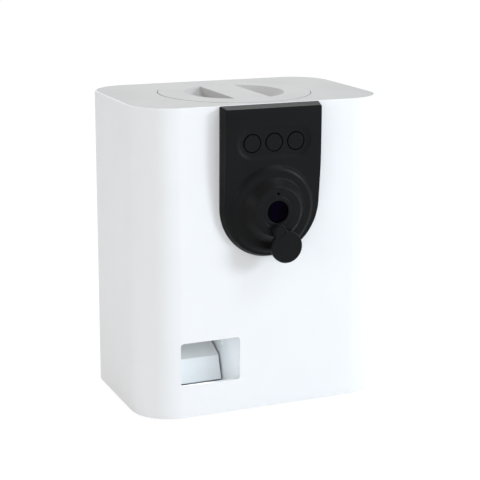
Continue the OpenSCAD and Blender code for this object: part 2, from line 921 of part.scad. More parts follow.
// The funnel shape of the hopper, thickened outwards by a wall
module bin(t, low, high) {
    side_z = roof_z - hopper_side_h;
    intersection() {
        along_y(bin_y0 - t + hopper_wall, bin_y1 + t - hopper_wall)
            polygon([
                [bin_x0 + hopper_wall - t, high], [bin_x1 - hopper_wall + t, high],
                [bin_x1 - hopper_wall + t, side_z], [chute_x1 + t, rotor_top + throat_h[0]],
                [chute_x1 + t, low], [chute_x0 - t, low],
                [chute_x0 - t, rotor_top + throat_h[0]], [bin_x0 + hopper_wall - t, rotor_top + left_fall]
            ]);
        across(bin_x0 - t, bin_x1 + t)
            polygon([
                [bin_y0 + hopper_wall - t, high], [bin_y1 - hopper_wall + t, high],
                [bin_y1 - hopper_wall + t, rotor_top + back_fall], [throat_y1 + t, rotor_top + throat_h[1]],
                [throat_y1 + t, low], [throat_y0 - t, low],
                [throat_y0 - t, rotor_top + throat_h[1]], [bin_y0 + hopper_wall - t, rotor_top + front_fall]
            ]);
    }
}

module hopper() {
    color("whitesmoke")
    difference() {
        union() {
            bin(hopper_wall, rotor_top, roof_z);
            rotate_extrude($fn = 96)
                polygon([
                    [0, roof_z - bite], [neck_r + hopper_wall, roof_z - bite],
                    [neck_r + hopper_wall, cover_z - flange_t],
                    [flange_out, cover_z - flange_t], [flange_out, cover_z],
                    [lid_hole_r, cover_z], [lid_hole_r, lid_seat_z], [0, lid_seat_z]
                ]);
        }
        bin(0, rotor_top - over, roof_z - hopper_wall);
        translate([0, 0, roof_z - 2 * hopper_wall])
            cylinder(r = neck_r, h = housing_h - roof_z + 3 * hopper_wall, $fn = 96);
    }
}

module rotor_housing() {
    color("gainsboro")
    difference() {
        union() {
            block([cheek_x0, rotor_y0, chute_top], [cheek_x1, rotor_y1, rotor_top]);
            for (p = ear_spots)
                translate([p[0], p[1], chute_top])
                    cylinder(r = ear_r, h = ear_h);
            for (z = bracket_post_z)
                along_x(cheek_x1 - bite, bracket_post_y, z)
                    cylinder(r = bracket_post_r, h = bracket_x - cheek_x1 + bite);
        }
        along_x(chute_x0, rotor_y, rotor_z)
            cylinder(r = rotor_bore_r, h = chute_x1 - chute_x0, $fn = 96);
        block([chute_x0, throat_y0, chute_top - over], [chute_x1, throat_y1, rotor_top + over]);
        along_x(cheek_x0 - over, rotor_y, rotor_z)
            cylinder(r = bush_r + bed, h = cheek_x1 - cheek_x0 + 2 * over);
        for (p = ear_spots)
            translate([p[0], p[1], chute_top - over])
                cylinder(r = screw_r + screw_gap, h = ear_h + 2 * over);
        for (z = bracket_post_z)
            along_x(bracket_x - bracket_hole, bracket_post_y, z)
                cylinder(r = screw_r + screw_gap, h = bracket_hole + over);
    }
}

module housing_screws() {
    color("silver")
    for (p = ear_spots)
        translate([p[0], p[1], chute_top + ear_h])
            rotate([180, 0, 0])
                screw(screw_r, screw_head_r, head_h, ear_h + chute_ear_h - 2 * tip_room);
}

module rotor() {
    color("sandybrown")
    along_x(chute_x0 + vane_gap, rotor_y, rotor_z)
        linear_extrude(chute_x1 - chute_x0 - 2 * vane_gap)
            difference() {
                intersection() {
                    union() {
                        circle(hub_r);
                        for (i = [0:vane_count - 1])
                            rotate([0, 0, 180 + i * 360 / vane_count])
                                translate([0, -vane_t / 2])
                                    square([vane_r + over, vane_t]);
                    }
                    circle(vane_r, $fn = 96);
                }
                circle(shaft_r + bed);
            }
}

module rotor_shaft() {
    x0 = cheek_x0 - bush_flange - clip_play - 2 * clip_t;
    color("silver")
    along_x(x0, rotor_y, rotor_z)
        cylinder(r = shaft_r, h = gear_x + gear_w + shaft_end - x0);
}

module rotor_bushes() {
    color("peru")
    for (s = [-1, 1])
        along_x(s < 0 ? cheek_x0 : cheek_x1, rotor_y, rotor_z)
            rotate([s < 0 ? 180 : 0, 0, 0])
                difference() {
                    union() {
                        translate([0, 0, -chute_wall])
                            cylinder(r = bush_r, h = chute_wall);
                        cylinder(r = flange_r, h = bush_flange);
                    }
                    translate([0, 0, -chute_wall - over])
                        cylinder(r = shaft_r + run_gap, h = chute_wall + bush_flange + 2 * over);
                }
}

module rotor_gear() {
    color("ivory")
    along_x(gear_x, rotor_y, rotor_z)
        difference() {
            linear_extrude(gear_w)
                rotate([0, 0, 90])
                    gear_outline(gear_teeth, backlash);
            translate([0, 0, -over])
                cylinder(r = shaft_r + bed, h = gear_w + 2 * over);
        }
}

module shaft_clip() {
    color("silver")
    along_x(cheek_x0 - bush_flange - clip_play - clip_t, rotor_y, rotor_z)
        difference() {
            cylinder(r = shaft_r + clip_w, h = clip_t);
            translate([0, 0, -over])
                cylinder(r = shaft_r + bed, h = clip_t + 2 * over);
        }
}

module motor_pinion() {
    color("gold")
    along_x(gear_x, pinion_y, rotor_z)
        difference() {
            linear_extrude(gear_w)
                rotate([0, 0, 90 + 180 / pinion_teeth])
                    gear_outline(pinion_teeth, backlash);
            translate([0, 0, -over])
                cylinder(r = motor_shaft_r + bed, h = gear_w + 2 * over);
        }
}

module motor_shaft() {
    color("silver")
    along_x(gear_x - bite, pinion_y, rotor_z)
        cylinder(r = motor_shaft_r, h = gearbox_x - gear_x + bite + shaft_depth - tip_room);
}

module gearbox() {
    color("darkgray")
    difference() {
        union() {
            along_x(gearbox_x, pinion_y, rotor_z)
                cylinder(r = gearbox_r, h = gearbox_len);
            along_x(gearbox_x - output_boss_h, pinion_y, rotor_z)
                cylinder(r = output_boss_r, h = output_boss_h + over);
        }
        along_x(gearbox_x - output_boss_h - over, pinion_y, rotor_z)
            cylinder(r = motor_shaft_r + run_gap, h = output_boss_h + shaft_depth + over);
        for (s = [-1, 1])
            along_x(gearbox_x - over, pinion_y, rotor_z + s * motor_screw_r)
                cylinder(r = screw_r + screw_gap, h = motor_hole + over);
    }
}

module motor() {
    color("slategray")
    union() {
        along_x(motor_x, pinion_y, rotor_z)
            cylinder(r = motor_r, h = motor_len);
        along_x(motor_x + motor_len, pinion_y, rotor_z)
            cylinder(r = motor_boss_r, h = motor_boss_h);
        for (z = terminal_z)
            block([motor_x + motor_len - over, terminal_y - terminal_t / 2, z - terminal_w / 2],
                [motor_x + motor_len + terminal_l, terminal_y + terminal_t / 2, z + terminal_w / 2]);
    }
}

module motor_bracket() {
    color("lightsteelblue")
    difference() {
        block([bracket_x, bracket_post_y - bracket_edge, bracket_post_z[0] - bracket_edge],
            [bracket_x + bracket_t, pinion_y + gearbox_r, bracket_post_z[1] + bracket_edge]);
        along_x(bracket_x - over, pinion_y, rotor_z)
            cylinder(r = output_boss_r + 2 * run_gap, h = bracket_t + 2 * over);
        for (s = [-1, 1])
            along_x(bracket_x - over, pinion_y, rotor_z + s * motor_screw_r)
                cylinder(r = screw_r + screw_gap, h = bracket_t + 2 * over);
        for (z = bracket_post_z)
            along_x(bracket_x - over, bracket_post_y, z)
                cylinder(r = screw_r + screw_gap, h = bracket_t + 2 * over);
    }
}

module bracket_screws() {
    color("silver")
    for (z = bracket_post_z)
        along_x(bracket_x + bracket_t, bracket_post_y, z)
            rotate([180, 0, 0])
                screw(screw_r, screw_head_r, head_h, bracket_t + bracket_hole - tip_room);
}

module motor_screws() {
    color("silver")
    for (s = [-1, 1])
        along_x(bracket_x, pinion_y, rotor_z + s * motor_screw_r)
            screw(screw_r, screw_head_r, head_h, bracket_t + motor_hole - tip_room);
}

module chute() {
    ramp_top = sill_z - opening_lip;
    ramp_foot = chute_front + ramp_run;
    ramp_slope = atan((ramp_top - chute_floor_z) / ramp_run);
    color("white")
    difference() {
        union() {
            block([cheek_x0, chute_front, base_z], [chute_x0, chute_back_y + chute_wall, chute_top]);
            block([chute_x1, chute_front, base_z], [cheek_x1, side_back_y, chute_top]);
            block([cheek_x0, chute_back_y, base_z], [cheek_x1, chute_back_y + chute_wall, chute_top]);
            block([cheek_x0, chute_front, chute_top - chute_wall], [cheek_x1, throat_y0, chute_top]);
            block([cheek_x0, chute_front, sill_z + outlet_h + opening_lip],
                [cheek_x1, chute_front + chute_wall, chute_top]);
            block([cheek_x0, chute_front, base_z],
                [cheek_x1, chute_front + chute_wall, ramp_top - chute_wall]);
            across(cheek_x0, cheek_x1)
                polygon([
                    [chute_front, ramp_top], [ramp_foot, chute_floor_z],
                    [chute_back_y + chute_wall, chute_floor_z],
                    [chute_back_y + chute_wall, chute_floor_z - chute_wall],
                    [ramp_foot - chute_wall * tan(ramp_slope / 2), chute_floor_z - chute_wall],
                    [chute_front, ramp_top - chute_wall / cos(ramp_slope)]
                ]);
            for (x = chute_post_x, y = chute_post_y)
                translate([x, y, base_z])
                    cylinder(r = chute_post_r, h = chute_post_h);
            for (p = ear_spots)
                translate([p[0], p[1], chute_top - chute_ear_h])
                    cylinder(r = ear_r, h = chute_ear_h);
            for (y = servo_hole_y)
                along_x(cheek_x1 - bite, y, axle_z)
                    cylinder(r = servo_boss_r, h = servo_tab_x - cheek_x1 + bite);
        }
        along_x(cheek_x0 - over, axle_y, axle_z)
            cylinder(r = axle_r + run_gap, h = cheek_x1 - cheek_x0 + 2 * over);
        along_x(cheek_x0 - over, sensor_y, sensor_z)
            cylinder(r = sensor_r + run_gap, h = cheek_x1 - cheek_x0 + 2 * over);
        for (x = chute_post_x, y = chute_post_y)
            translate([x, y, base_z - over])
                cylinder(r = screw_r + screw_gap, h = chute_post_h - tip_room + over);
        for (p = ear_spots)
            translate([p[0], p[1], chute_top - chute_ear_h + tip_room])
                cylinder(r = screw_r + screw_gap, h = chute_ear_h);
        for (y = servo_hole_y)
            along_x(servo_tab_x - servo_hole, y, axle_z)
                cylinder(r = small_screw_r + screw_gap, h = servo_hole + over);
    }
}

module chute_screws() {
    color("silver")
    for (x = chute_post_x, y = chute_post_y)
        translate([x, y, floor_gap + sink])
            screw(screw_r, screw_head_r, head_h, base_t - sink + chute_post_h - 2 * tip_room);
}

module kicker() {
    leaf_n = [sin(leaf_slope), -cos(leaf_slope)] * kicker_t;
    blade_n = [sin(blade_slope), -cos(blade_slope)] * kicker_t;
    mid = (leaf_slope + blade_slope) / 2;
    bend_n = [sin(mid), -cos(mid)] * kicker_t / cos((blade_slope - leaf_slope) / 2);
    root_y = axle_y;
    root_z = bend_z + leaf_run * sin(leaf_slope);
    color("white")
    difference() {
        union() {
            across(kicker_x0, kicker_x1)
                polygon([
                    [root_y, root_z], [bend_y, bend_z], [tip_y, tip_z],
                    [tip_y, tip_z] + blade_n, [bend_y, bend_z] + bend_n, [root_y, root_z] + leaf_n
                ]);
            along_x(kicker_x0, axle_y, axle_z)
                cylinder(r = kicker_hub_r, h = kicker_x1 - kicker_x0);
        }
        along_x(kicker_x0 - over, axle_y, axle_z)
            cylinder(r = axle_r + bed, h = kicker_x1 - kicker_x0 + 2 * over);
    }
}

module kicker_axle() {
    color("silver")
    along_x(cheek_x0 - shaft_end, axle_y, axle_z)
        cylinder(r = axle_r, h = horn_x + horn_len / 2 - cheek_x0 + shaft_end);
}

module servo() {
    color("royalblue")
    difference() {
        union() {
            block([servo_x, servo_y0, axle_z - servo_h / 2],
                [servo_x + servo_depth, servo_y1, axle_z + servo_h / 2]);
            block([servo_tab_x, servo_y0 - servo_tab_l, axle_z - servo_h / 2],
                [servo_tab_x + servo_tab_t, servo_y1 + servo_tab_l, axle_z + servo_h / 2]);
            along_x(servo_boss_x, axle_y, axle_z)
                cylinder(r = servo_boss_face, h = servo_boss_h + over);
        }
        along_x(servo_boss_x - over, axle_y, axle_z)
            cylinder(r = servo_spline_r + run_gap, h = servo_boss_h + over);
        for (y = servo_hole_y)
            along_x(servo_tab_x - over, y, axle_z)
                cylinder(r = small_screw_r + screw_gap, h = servo_tab_t + 2 * over);
    }
}

module servo_horn() {
    color("white")
    difference() {
        union() {
            along_x(horn_x, axle_y, axle_z)
                cylinder(r = horn_r, h = horn_len);
            along_x(horn_x + horn_len - over, axle_y, axle_z)
                cylinder(r = servo_spline_r, h = seat_gap + spline_len + over);
        }
        along_x(horn_x - over, axle_y, axle_z)
            cylinder(r = axle_r + bed, h = horn_len / 2 + over);
    }
}

module servo_screws() {
    color("silver")
    for (y = servo_hole_y)
        along_x(servo_tab_x + servo_tab_t, y, axle_z)
            rotate([180, 0, 0])
                screw(small_screw_r, small_head_r, small_head_h, servo_tab_t + servo_hole - tip_room);
}

module drop_sensors() {
    color("white")
    for (s = [-1, 1])
        intersection() {
            translate([(s < 0 ? chute_x0 : chute_x1) + s * (sensor_ball - sensor_bulge), sensor_y, sensor_z])
                sphere(r = sensor_ball);
            along_x(s < 0 ? chute_x0 - sensor_len : chute_x1 - 2 * sensor_bulge, sensor_y, sensor_z)
                cylinder(r = sensor_r, h = sensor_len + 2 * sensor_bulge);
        }
}

module front_panel() {
    color("black")
    difference() {
        union() {
            difference() {
                panel_body(0, panel_proud);
                translate([0, over, 0])
                    panel_body(panel_wall, inner_face + over);
            }
            on_front(0, button_z)
                translate([0, 0, recess_back])
                    linear_extrude(inner_face - recess_back + bite)
                        pill(2 * button_pitch + recess_h + 2 * panel_wall, recess_h + 2 * panel_wall);
            on_front(0, ring_z)
                translate([0, 0, panel_proud - bite])
                    cylinder(r = ring1_r, h = bite);
            on_front(0, ring_z)
                translate([0, 0, panel_proud])
                    cylinder(r1 = ring1_r, r2 = ring1_r - ring1_flank, h = ring1_rise);
            on_front(0, lens_z)
                translate([0, 0, ring1_top])
                    cylinder(r1 = ring2_r, r2 = ring2_r - ring2_flank, h = ring2_rise);
            on_front(0, pivot_z)
                translate([0, 0, ring2_top - bite])
                    cylinder(r = cover_boss_r - bite, h = cover_spacer_h + bite);
            for (p = panel_posts)
                on_front(p[0], p[1])
                    cylinder(r = panel_post_r, h = inner_face + bite);
            for (s = [-1, 1])
                on_front(s * button_post_x, button_z - button_post_drop)
                    translate([0, 0, button_board_front])
                        cylinder(r = button_post_r, h = recess_back - button_board_front + bite);
            for (s = [-1, 1])
                on_front(s * camera_post_off, lens_z + s * camera_post_off)
                    translate([0, 0, camera_board_front])
                        cylinder(r = camera_post_r, h = ring_hollow_top - camera_board_front + bite);
        }
        on_front(0, button_z)
            translate([0, 0, recess_face])
                linear_extrude(recess_depth + over)
                    pill(2 * button_pitch + recess_h, recess_h);
        for (x = button_x)
            on_front(x, button_z)
                translate([0, 0, recess_back - over])
                    cylinder(r = button_r + button_gap, h = panel_wall + 2 * over);
        difference() {
            on_front(0, ring_z)
                translate([0, 0, inner_face - over])
                    cylinder(r = ring_hollow_r, h = ring_hollow_top - inner_face + over);
            for (s = [-1, 1])
                on_front(s * camera_post_off, lens_z + s * camera_post_off)
                    cylinder(r = camera_post_r, h = ring2_top);
            for (p = panel_posts)
                on_front(p[0], p[1])
                    cylinder(r = panel_post_r, h = ring2_top);
        }
        on_front(0, lens_z)
            translate([0, 0, ring_hollow_top - over])
                cylinder(r = nose_hollow_r, h = nose_hollow_top - ring_hollow_top + over);
        on_front(0, lens_z)
            translate([0, 0, nose_hollow_top - over])
                cylinder(r = glass_r + 2 * run_gap, h = glass_t + over);
        on_front(0, lens_z)
            translate([0, 0, nose_hollow_top])
                cylinder(r = lens_open_r, h = ring2_rise + over);
        on_front(0, lens_z)
            translate([0, 0, ring2_top - trim_depth])
                difference() {
                    cylinder(r = trim_r, h = trim_depth + over);
                    translate([0, 0, -over])
                        cylinder(r = trim_r - trim_w, h = trim_depth + 3 * over);
                    translate([-pin_head_r, -trim_r - over, -over])
                        cube([2 * pin_head_r, trim_r, trim_depth + 3 * over]);
                }
        on_front(0, mic_z)
            translate([0, 0, nose_hollow_top - over])
                cylinder(r = mic_hole_r, h = ring2_rise + 2 * over, $fn = 32);
        on_front(0, mic_z)
            translate([0, 0, ring_hollow_top - over])
                cylinder(r = mic_r + run_gap, h = nose_hollow_top - ring_hollow_top + over);
        on_front(0, pivot_z)
            translate([0, 0, ring_hollow_top - over])
                cylinder(r = pocket_r, h = nose_hollow_top - ring_hollow_top + over);
        on_front(0, pivot_z)
            translate([0, 0, nose_hollow_top - over])
                cylinder(r = pin_r + bed, h = ring2_rise + cover_spacer_h + 2 * over);
        for (p = panel_posts)
            on_front(p[0], p[1])
                translate([0, 0, -over])
                    cylinder(r = screw_r + screw_gap, h = panel_screw_len + over);
        for (s = [-1, 1])
            on_front(s * button_post_x, button_z - button_post_drop)
                translate([0, 0, button_board_front - over])
                    cylinder(r = small_screw_r + screw_gap, h = small_hole + over);
        for (s = [-1, 1])
            on_front(s * camera_post_off, lens_z + s * camera_post_off)
                translate([0, 0, camera_board_front - over])
                    cylinder(r = small_screw_r + screw_gap, h = small_hole + over);
    }
}

module panel_screws() {
    color("silver")
    for (p = panel_posts)
        on_front(p[0], p[1])
            translate([0, 0, -wall])
                screw(screw_r, screw_head_r, head_h, wall + panel_screw_len - tip_room);
}

// One button: a round cap with a flange that keeps it behind the panel
module button(x) {
    on_front(x, button_z)
        union() {
            translate([0, 0, button_back])
                cylinder(r = button_r, h = button_front - button_back);
            translate([0, 0, button_back])
                cylinder(r = button_flange_r, h = button_flange_t);
        }
}

module button_left() {
    color("black")
        button(button_x[0]);
}

module button_middle() {
    color("black")
        button(button_x[1]);
}

module button_right() {
    color("black")
        button(button_x[2]);
}

module button_board() {
    color("darkgreen")
    on_front(0, button_z)
        difference() {
            translate([-button_board_w / 2, -button_board_h / 2, button_board_front - board_t])
                cube([button_board_w, button_board_h, board_t]);
            for (s = [-1, 1])
                translate([s * button_post_x, -button_post_drop, button_board_front - board_t - over])
                    cylinder(r = small_screw_r + screw_gap, h = board_t + 2 * over);
        }
}

module tact_switches() {
    color("dimgray")
    for (x = button_x)
        on_front(x, button_z) {
            translate([-switch_w / 2, -switch_w / 2, button_board_front])
                cube([switch_w, switch_w, switch_h]);
            translate([0, 0, button_board_front + switch_h - bite])
                cylinder(r = switch_tip_r, h = switch_tip_h + bite);
        }
}

module button_board_screws() {
    color("silver")
    for (s = [-1, 1])
        on_front(s * button_post_x, button_z - button_post_drop)
            translate([0, 0, button_board_front - board_t])
                screw(small_screw_r, small_head_r, small_head_h, board_t + small_hole - bite);
}

module lens_window() {
    color("midnightblue")
    on_front(0, lens_z)
        translate([0, 0, nose_hollow_top])
            cylinder(r = glass_r, h = glass_t);
}

module lens_barrel() {
    color("black")
    on_front(0, lens_z)
        difference() {
            translate([0, 0, camera_board_front])
                cylinder(r = barrel_r, h = nose_hollow_top - bite - camera_board_front);
            translate([0, 0, nose_hollow_top - lens_in])
                cylinder(r = barrel_r - barrel_wall, h = lens_in);
        }
}

module front_lens() {
    color("indigo")
    on_front(0, lens_z)
        translate([0, 0, nose_hollow_top - lens_in])
            cylinder(r = barrel_r - barrel_wall - run_gap, h = front_lens_t);
}

module camera_board() {
    color("darkgreen")
    on_front(0, lens_z)
        difference() {
            translate([-camera_board_w / 2, -camera_board_w / 2, camera_board_front - camera_board_t])
                cube([camera_board_w, camera_board_w, camera_board_t]);
            for (s = [-1, 1])
                translate([s * camera_post_off, s * camera_post_off, camera_board_front])
                    translate([0, 0, -camera_board_t - over])
                        cylinder(r = small_screw_r + screw_gap, h = camera_board_t + 2 * over);
        }
}

module camera_screws() {
    color("silver")
    for (s = [-1, 1])
        on_front(s * camera_post_off, lens_z + s * camera_post_off)
            translate([0, 0, camera_board_front - camera_board_t])
                screw(small_screw_r, small_head_r, small_head_h, camera_board_t + small_hole - bite);
}

module microphone() {
    color("silver")
    on_front(0, mic_z)
        translate([0, 0, nose_hollow_top - mic_h])
            cylinder(r = mic_r, h = mic_h);
}

module lens_cover() {
    color("black")
    on_front(0, pivot_z)
        rotate([0, 0, cover_rest])
            translate([0, 0, cover_back])
                difference() {
                    union() {
                        translate([0, -pivot_arm, 0])
                            cylinder(r = cover_disc_r, h = cover_disc_t);
                        cylinder(r = cover_boss_r, h = cover_disc_t);
                        translate([-cover_boss_r, -pivot_arm, 0])
                            cube([2 * cover_boss_r, pivot_arm, cover_disc_t]);
                    }
                    translate([0, 0, -over])
                        cylinder(r = pin_r + run_gap, h = cover_disc_t + 2 * over);
                    translate([0, 0, cover_disc_t - pin_head_h - seat_gap])
                        cylinder(r = pin_head_r + seat_gap, h = pin_head_h + seat_gap + over);
                }
}

module cover_pin() {
    color("dimgray")
    on_front(0, pivot_z) {
        translate([0, 0, cover_front - pin_head_h - pin_len])
            cylinder(r = pin_r, h = pin_len);
        translate([0, 0, cover_front - pin_head_h])
            cylinder(r = pin_head_r, h = pin_head_h);
    }
}

module cover_clip() {
    color("silver")
    on_front(0, pivot_z)
        translate([0, 0, nose_hollow_top - clip_t])
            difference() {
                cylinder(r = pocket_r - 2 * seat_gap, h = clip_t);
                translate([0, 0, -over])
                    cylinder(r = pin_r + bed, h = clip_t + 2 * over);
            }
}

module main_board() {
    color("darkgreen")
    difference() {
        block([board_x, board_y - board_t, board_z], [board_x + board_w, board_y, board_z + board_h]);
        for (x = standoff_x, z = standoff_z)
            on_back(x, z)
                cylinder(r = small_screw_r + screw_gap, h = standoff_h + board_t + over);
    }
}

// A box on the main board's inner face
module board_box(x, z, w, h, t) {
    translate([board_x + x, board_y - board_t - t, board_z + z])
        cube([w, t, h]);
}

module board_parts() {
    color("dimgray") {
        for (b = [processor, memory, radio, supply])
            board_box(b[0], b[1], b[2], b[3], b[4]);
        for (x = capacitor_x)
            on_back(board_x + x, board_z + capacitor_up)
                translate([0, 0, standoff_h + board_t])
                    cylinder(r = capacitor_r, h = capacitor_h);
    }
}

module board_screws() {
    color("silver")
    for (x = standoff_x, z = standoff_z)
        on_back(x, z)
            translate([0, 0, standoff_h + board_t])
                rotate([180, 0, 0])
                    screw(small_screw_r, small_head_r, small_head_h, board_t + standoff_h - bite);
}

module speaker() {
    color("black")
    on_back(speaker_x, speaker_z)
        rotate_extrude()
            polygon([
                [0, speaker_depth - cone_t], [coil_r, speaker_depth - cone_t],
                [speaker_r - 1.5 * speaker_rim, cone_t], [speaker_r - speaker_rim, 0],
                [speaker_r, 0], [speaker_r, speaker_flange_t], [speaker_r - speaker_rim, speaker_flange_t],
                [magnet_r, speaker_depth], [0, speaker_depth]
            ]);
}

module speaker_magnet() {
    color("silver")
    on_back(speaker_x, speaker_z)
        translate([0, 0, speaker_depth])
            cylinder(r = magnet_r, h = magnet_h);
}

module speaker_screws() {
    color("silver")
    on_back(speaker_x, speaker_z)
        for (a = speaker_turns)
            rotate([0, 0, a])
                translate([speaker_post_at, 0, speaker_flange_t + seat_gap])
                    rotate([180, 0, 0])
                        screw(small_screw_r, speaker_head_r, small_head_h,
                            speaker_flange_t + seat_gap + wall - tip_room);
}

module power_jack() {
    color("black")
    on_back(jack_x, jack_z)
        difference() {
            union() {
                translate([0, 0, -wall - jack_flange_t])
                    cylinder(r = jack_flange_r, h = jack_flange_t);
                translate([0, 0, -wall])
                    cylinder(r = jack_r, h = jack_len);
            }
            translate([0, 0, -wall - jack_flange_t - over])
                difference() {
                    cylinder(r = jack_bore_r, h = jack_bore + over);
                    cylinder(r = jack_pin_r, h = jack_bore + over);
                }
            translate([0, 0, -wall - jack_flange_t - over])
                cylinder(r = jack_bore_r, h = 2 * over);
        }
}

module jack_nut() {
    color("silver")
    on_back(jack_x, jack_z)
        difference() {
            cylinder(r = nut_r, h = nut_t, $fn = 6);
            translate([0, 0, -over])
                cylinder(r = jack_r + run_gap, h = nut_t + 2 * over);
        }
}

module camera_ribbon() {
    y0 = front_y - camera_board_front + camera_board_t + ribbon_t / 2;
    y1 = front_in + lead_room;
    y2 = board_y - board_t;
    color("linen")
    across(ribbon_x, ribbon_x + ribbon_w)
        strip([
            [y0, lens_z - lead_bend], [y0, lens_z - 2 * lead_bend],
            [y1, lens_z - 3 * lead_bend], [y1, chute_top + 3 * lead_bend],
            [y1 + 2 * lead_bend, chute_top], [y2 - 3 * lead_bend, chute_top],
            [y2 - lead_bend, chute_top + lead_bend], [y2, chute_top + lead_bend]
        ], ribbon_t);
}

module motor_leads() {
    x0 = motor_x + motor_len + terminal_l - lead_t;
    y0 = terminal_y + terminal_t / 2;
    y1 = board_y - board_t;
    color("firebrick")
    for (z = terminal_z)
        translate([0, 0, z - terminal_w / 2])
            linear_extrude(terminal_w)
                strip([
                    [x0, y0], [x0, y1 - lead_bend], [x0 - lead_side, y1 - lead_t], [x0 - lead_side, y1]
                ], lead_t);
}

module servo_lead() {
    x0 = servo_x + servo_depth;
    color("saddlebrown")
    translate([0, 0, axle_z - lead_w / 2])
        linear_extrude(lead_w)
            strip([
                [x0, axle_y + lead_bend], [x0 + lead_bend, axle_y + lead_bend],
                [x0 + 2 * lead_bend, axle_y + 3 * lead_bend], [x0 + 2 * lead_bend, board_y - board_t]
            ], lead_t);
}

module speaker_leads() {
    y0 = back_in - speaker_depth - lead_room;
    y1 = board_y - board_t - 2 * lead_bend;
    x1 = board_x + 2 * lead_bend;
    color("firebrick")
    translate([0, 0, speaker_z - lead_w / 2])
        linear_extrude(lead_w)
            strip([
                [speaker_x + magnet_r, y0], [board_x - 2 * lead_bend, y0], [x1 - lead_bend, y1],
                [x1, y1 + lead_bend], [x1, board_y - board_t]
            ], lead_t);
}

housing_shell();
base_plate();
rubber_feet();
base_screws();
top_cover();
cover_screws();
lid();
lid_seal();
hopper();
rotor_housing();
housing_screws();
rotor();
rotor_shaft();
rotor_bushes();
rotor_gear();
shaft_clip();
motor_pinion();
motor_shaft();
gearbox();
motor();
motor_bracket();
bracket_screws();
motor_screws();
chute();
chute_screws();
kicker();
kicker_axle();
servo();
servo_horn();
servo_screws();
drop_sensors();
front_panel();
panel_screws();
button_left();
button_middle();
button_right();
button_board();
tact_switches();
button_board_screws();
lens_window();
lens_barrel();
front_lens();
camera_board();
camera_screws();
microphone();
lens_cover();
cover_pin();
cover_clip();
main_board();
board_parts();
board_screws();
speaker();
speaker_magnet();
speaker_screws();
power_jack();
jack_nut();
camera_ribbon();
motor_leads();
servo_lead();
speaker_leads();
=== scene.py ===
import json
import math

import bmesh
import bpy
from mathutils import Matrix, Vector


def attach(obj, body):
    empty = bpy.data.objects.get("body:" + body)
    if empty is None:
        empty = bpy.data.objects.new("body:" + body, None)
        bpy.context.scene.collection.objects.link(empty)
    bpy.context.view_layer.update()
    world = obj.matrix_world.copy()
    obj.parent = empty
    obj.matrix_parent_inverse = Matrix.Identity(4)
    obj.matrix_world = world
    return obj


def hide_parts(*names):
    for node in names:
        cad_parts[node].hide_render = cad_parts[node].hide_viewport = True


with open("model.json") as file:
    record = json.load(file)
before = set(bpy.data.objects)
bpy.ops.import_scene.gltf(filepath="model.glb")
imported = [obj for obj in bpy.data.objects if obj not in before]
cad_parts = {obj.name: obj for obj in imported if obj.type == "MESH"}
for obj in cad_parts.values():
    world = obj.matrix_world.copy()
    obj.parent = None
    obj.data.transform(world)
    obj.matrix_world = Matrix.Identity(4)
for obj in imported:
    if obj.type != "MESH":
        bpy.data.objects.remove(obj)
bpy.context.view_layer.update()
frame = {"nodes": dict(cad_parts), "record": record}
nodes = frame["nodes"]
slotOf = {part["node"]: part["material_slot"] for part in frame["record"]["subparts"]}
scene = bpy.context.scene
perMetre = 1000  # millimetres
print("frame loaded:", len(nodes), "nodes")


# the photo's viewpoint, solved from the housing's edges (metres, degrees, pixels)
photoCamera = {
    "azimuth": -23.258,
    "elevation": 14.118,
    "roll": 0.274,
    "distance": 0.877894,
    "target": (0.004502, 0.0, 0.09432),
    "focalPixels": 1372.39,
    "framePixels": 480,
    "sensor": 36.0,
    "nearest": 0.01,
}


def placeCamera(look):
    azimuth, elevation, roll = (math.radians(look[key]) for key in ("azimuth", "elevation", "roll"))
    level = math.cos(elevation)
    back = Vector((math.sin(azimuth) * level, -math.cos(azimuth) * level, math.sin(elevation)))
    right = Vector((math.cos(azimuth), math.sin(azimuth), 0))
    up = back.cross(right)
    sideways = right * math.cos(roll) + up * math.sin(roll)
    upward = up * math.cos(roll) - right * math.sin(roll)
    eye = Vector(look["target"]) + back * look["distance"]
    data = bpy.data.cameras.new("photoCamera")
    data.sensor_width = look["sensor"]
    data.sensor_fit = "HORIZONTAL"
    data.lens = look["focalPixels"] * look["sensor"] / look["framePixels"]
    data.clip_start = look["nearest"]
    camera = bpy.data.objects.new("photoCamera", data)
    camera.matrix_world = Matrix((
        (sideways.x, upward.x, back.x, eye.x),
        (sideways.y, upward.y, back.y, eye.y),
        (sideways.z, upward.z, back.z, eye.z),
        (0, 0, 0, 1)))
    scene.collection.objects.link(camera)
    scene.camera = camera


placeCamera(photoCamera)


# a node's output: used in an expression, it adds the Math nodes of that expression
class Wire:
    def __init__(self, paint, socket):
        self.paint = paint
        self.socket = socket

    def calc(self, operation, *values):
        return self.paint.add("ShaderNodeMath", {"operation": operation}, dict(enumerate(values)))

    def __add__(self, other):
        return self.calc("ADD", self, other)

    def __radd__(self, other):
        return self.calc("ADD", other, self)

    def __sub__(self, other):
        return self.calc("SUBTRACT", self, other)

    def __rsub__(self, other):
        return self.calc("SUBTRACT", other, self)

    def __mul__(self, other):
        return self.calc("MULTIPLY", self, other)

    def __rmul__(self, other):
        return self.calc("MULTIPLY", other, self)

    def __truediv__(self, other):
        return self.calc("DIVIDE", self, other)

    def __rtruediv__(self, other):
        return self.calc("DIVIDE", other, self)

    def __abs__(self):
        return self.calc("ABSOLUTE", self)

    def fraction(self):
        return self.calc("FRACT", self)

    def sine(self):
        return self.calc("SINE", self)


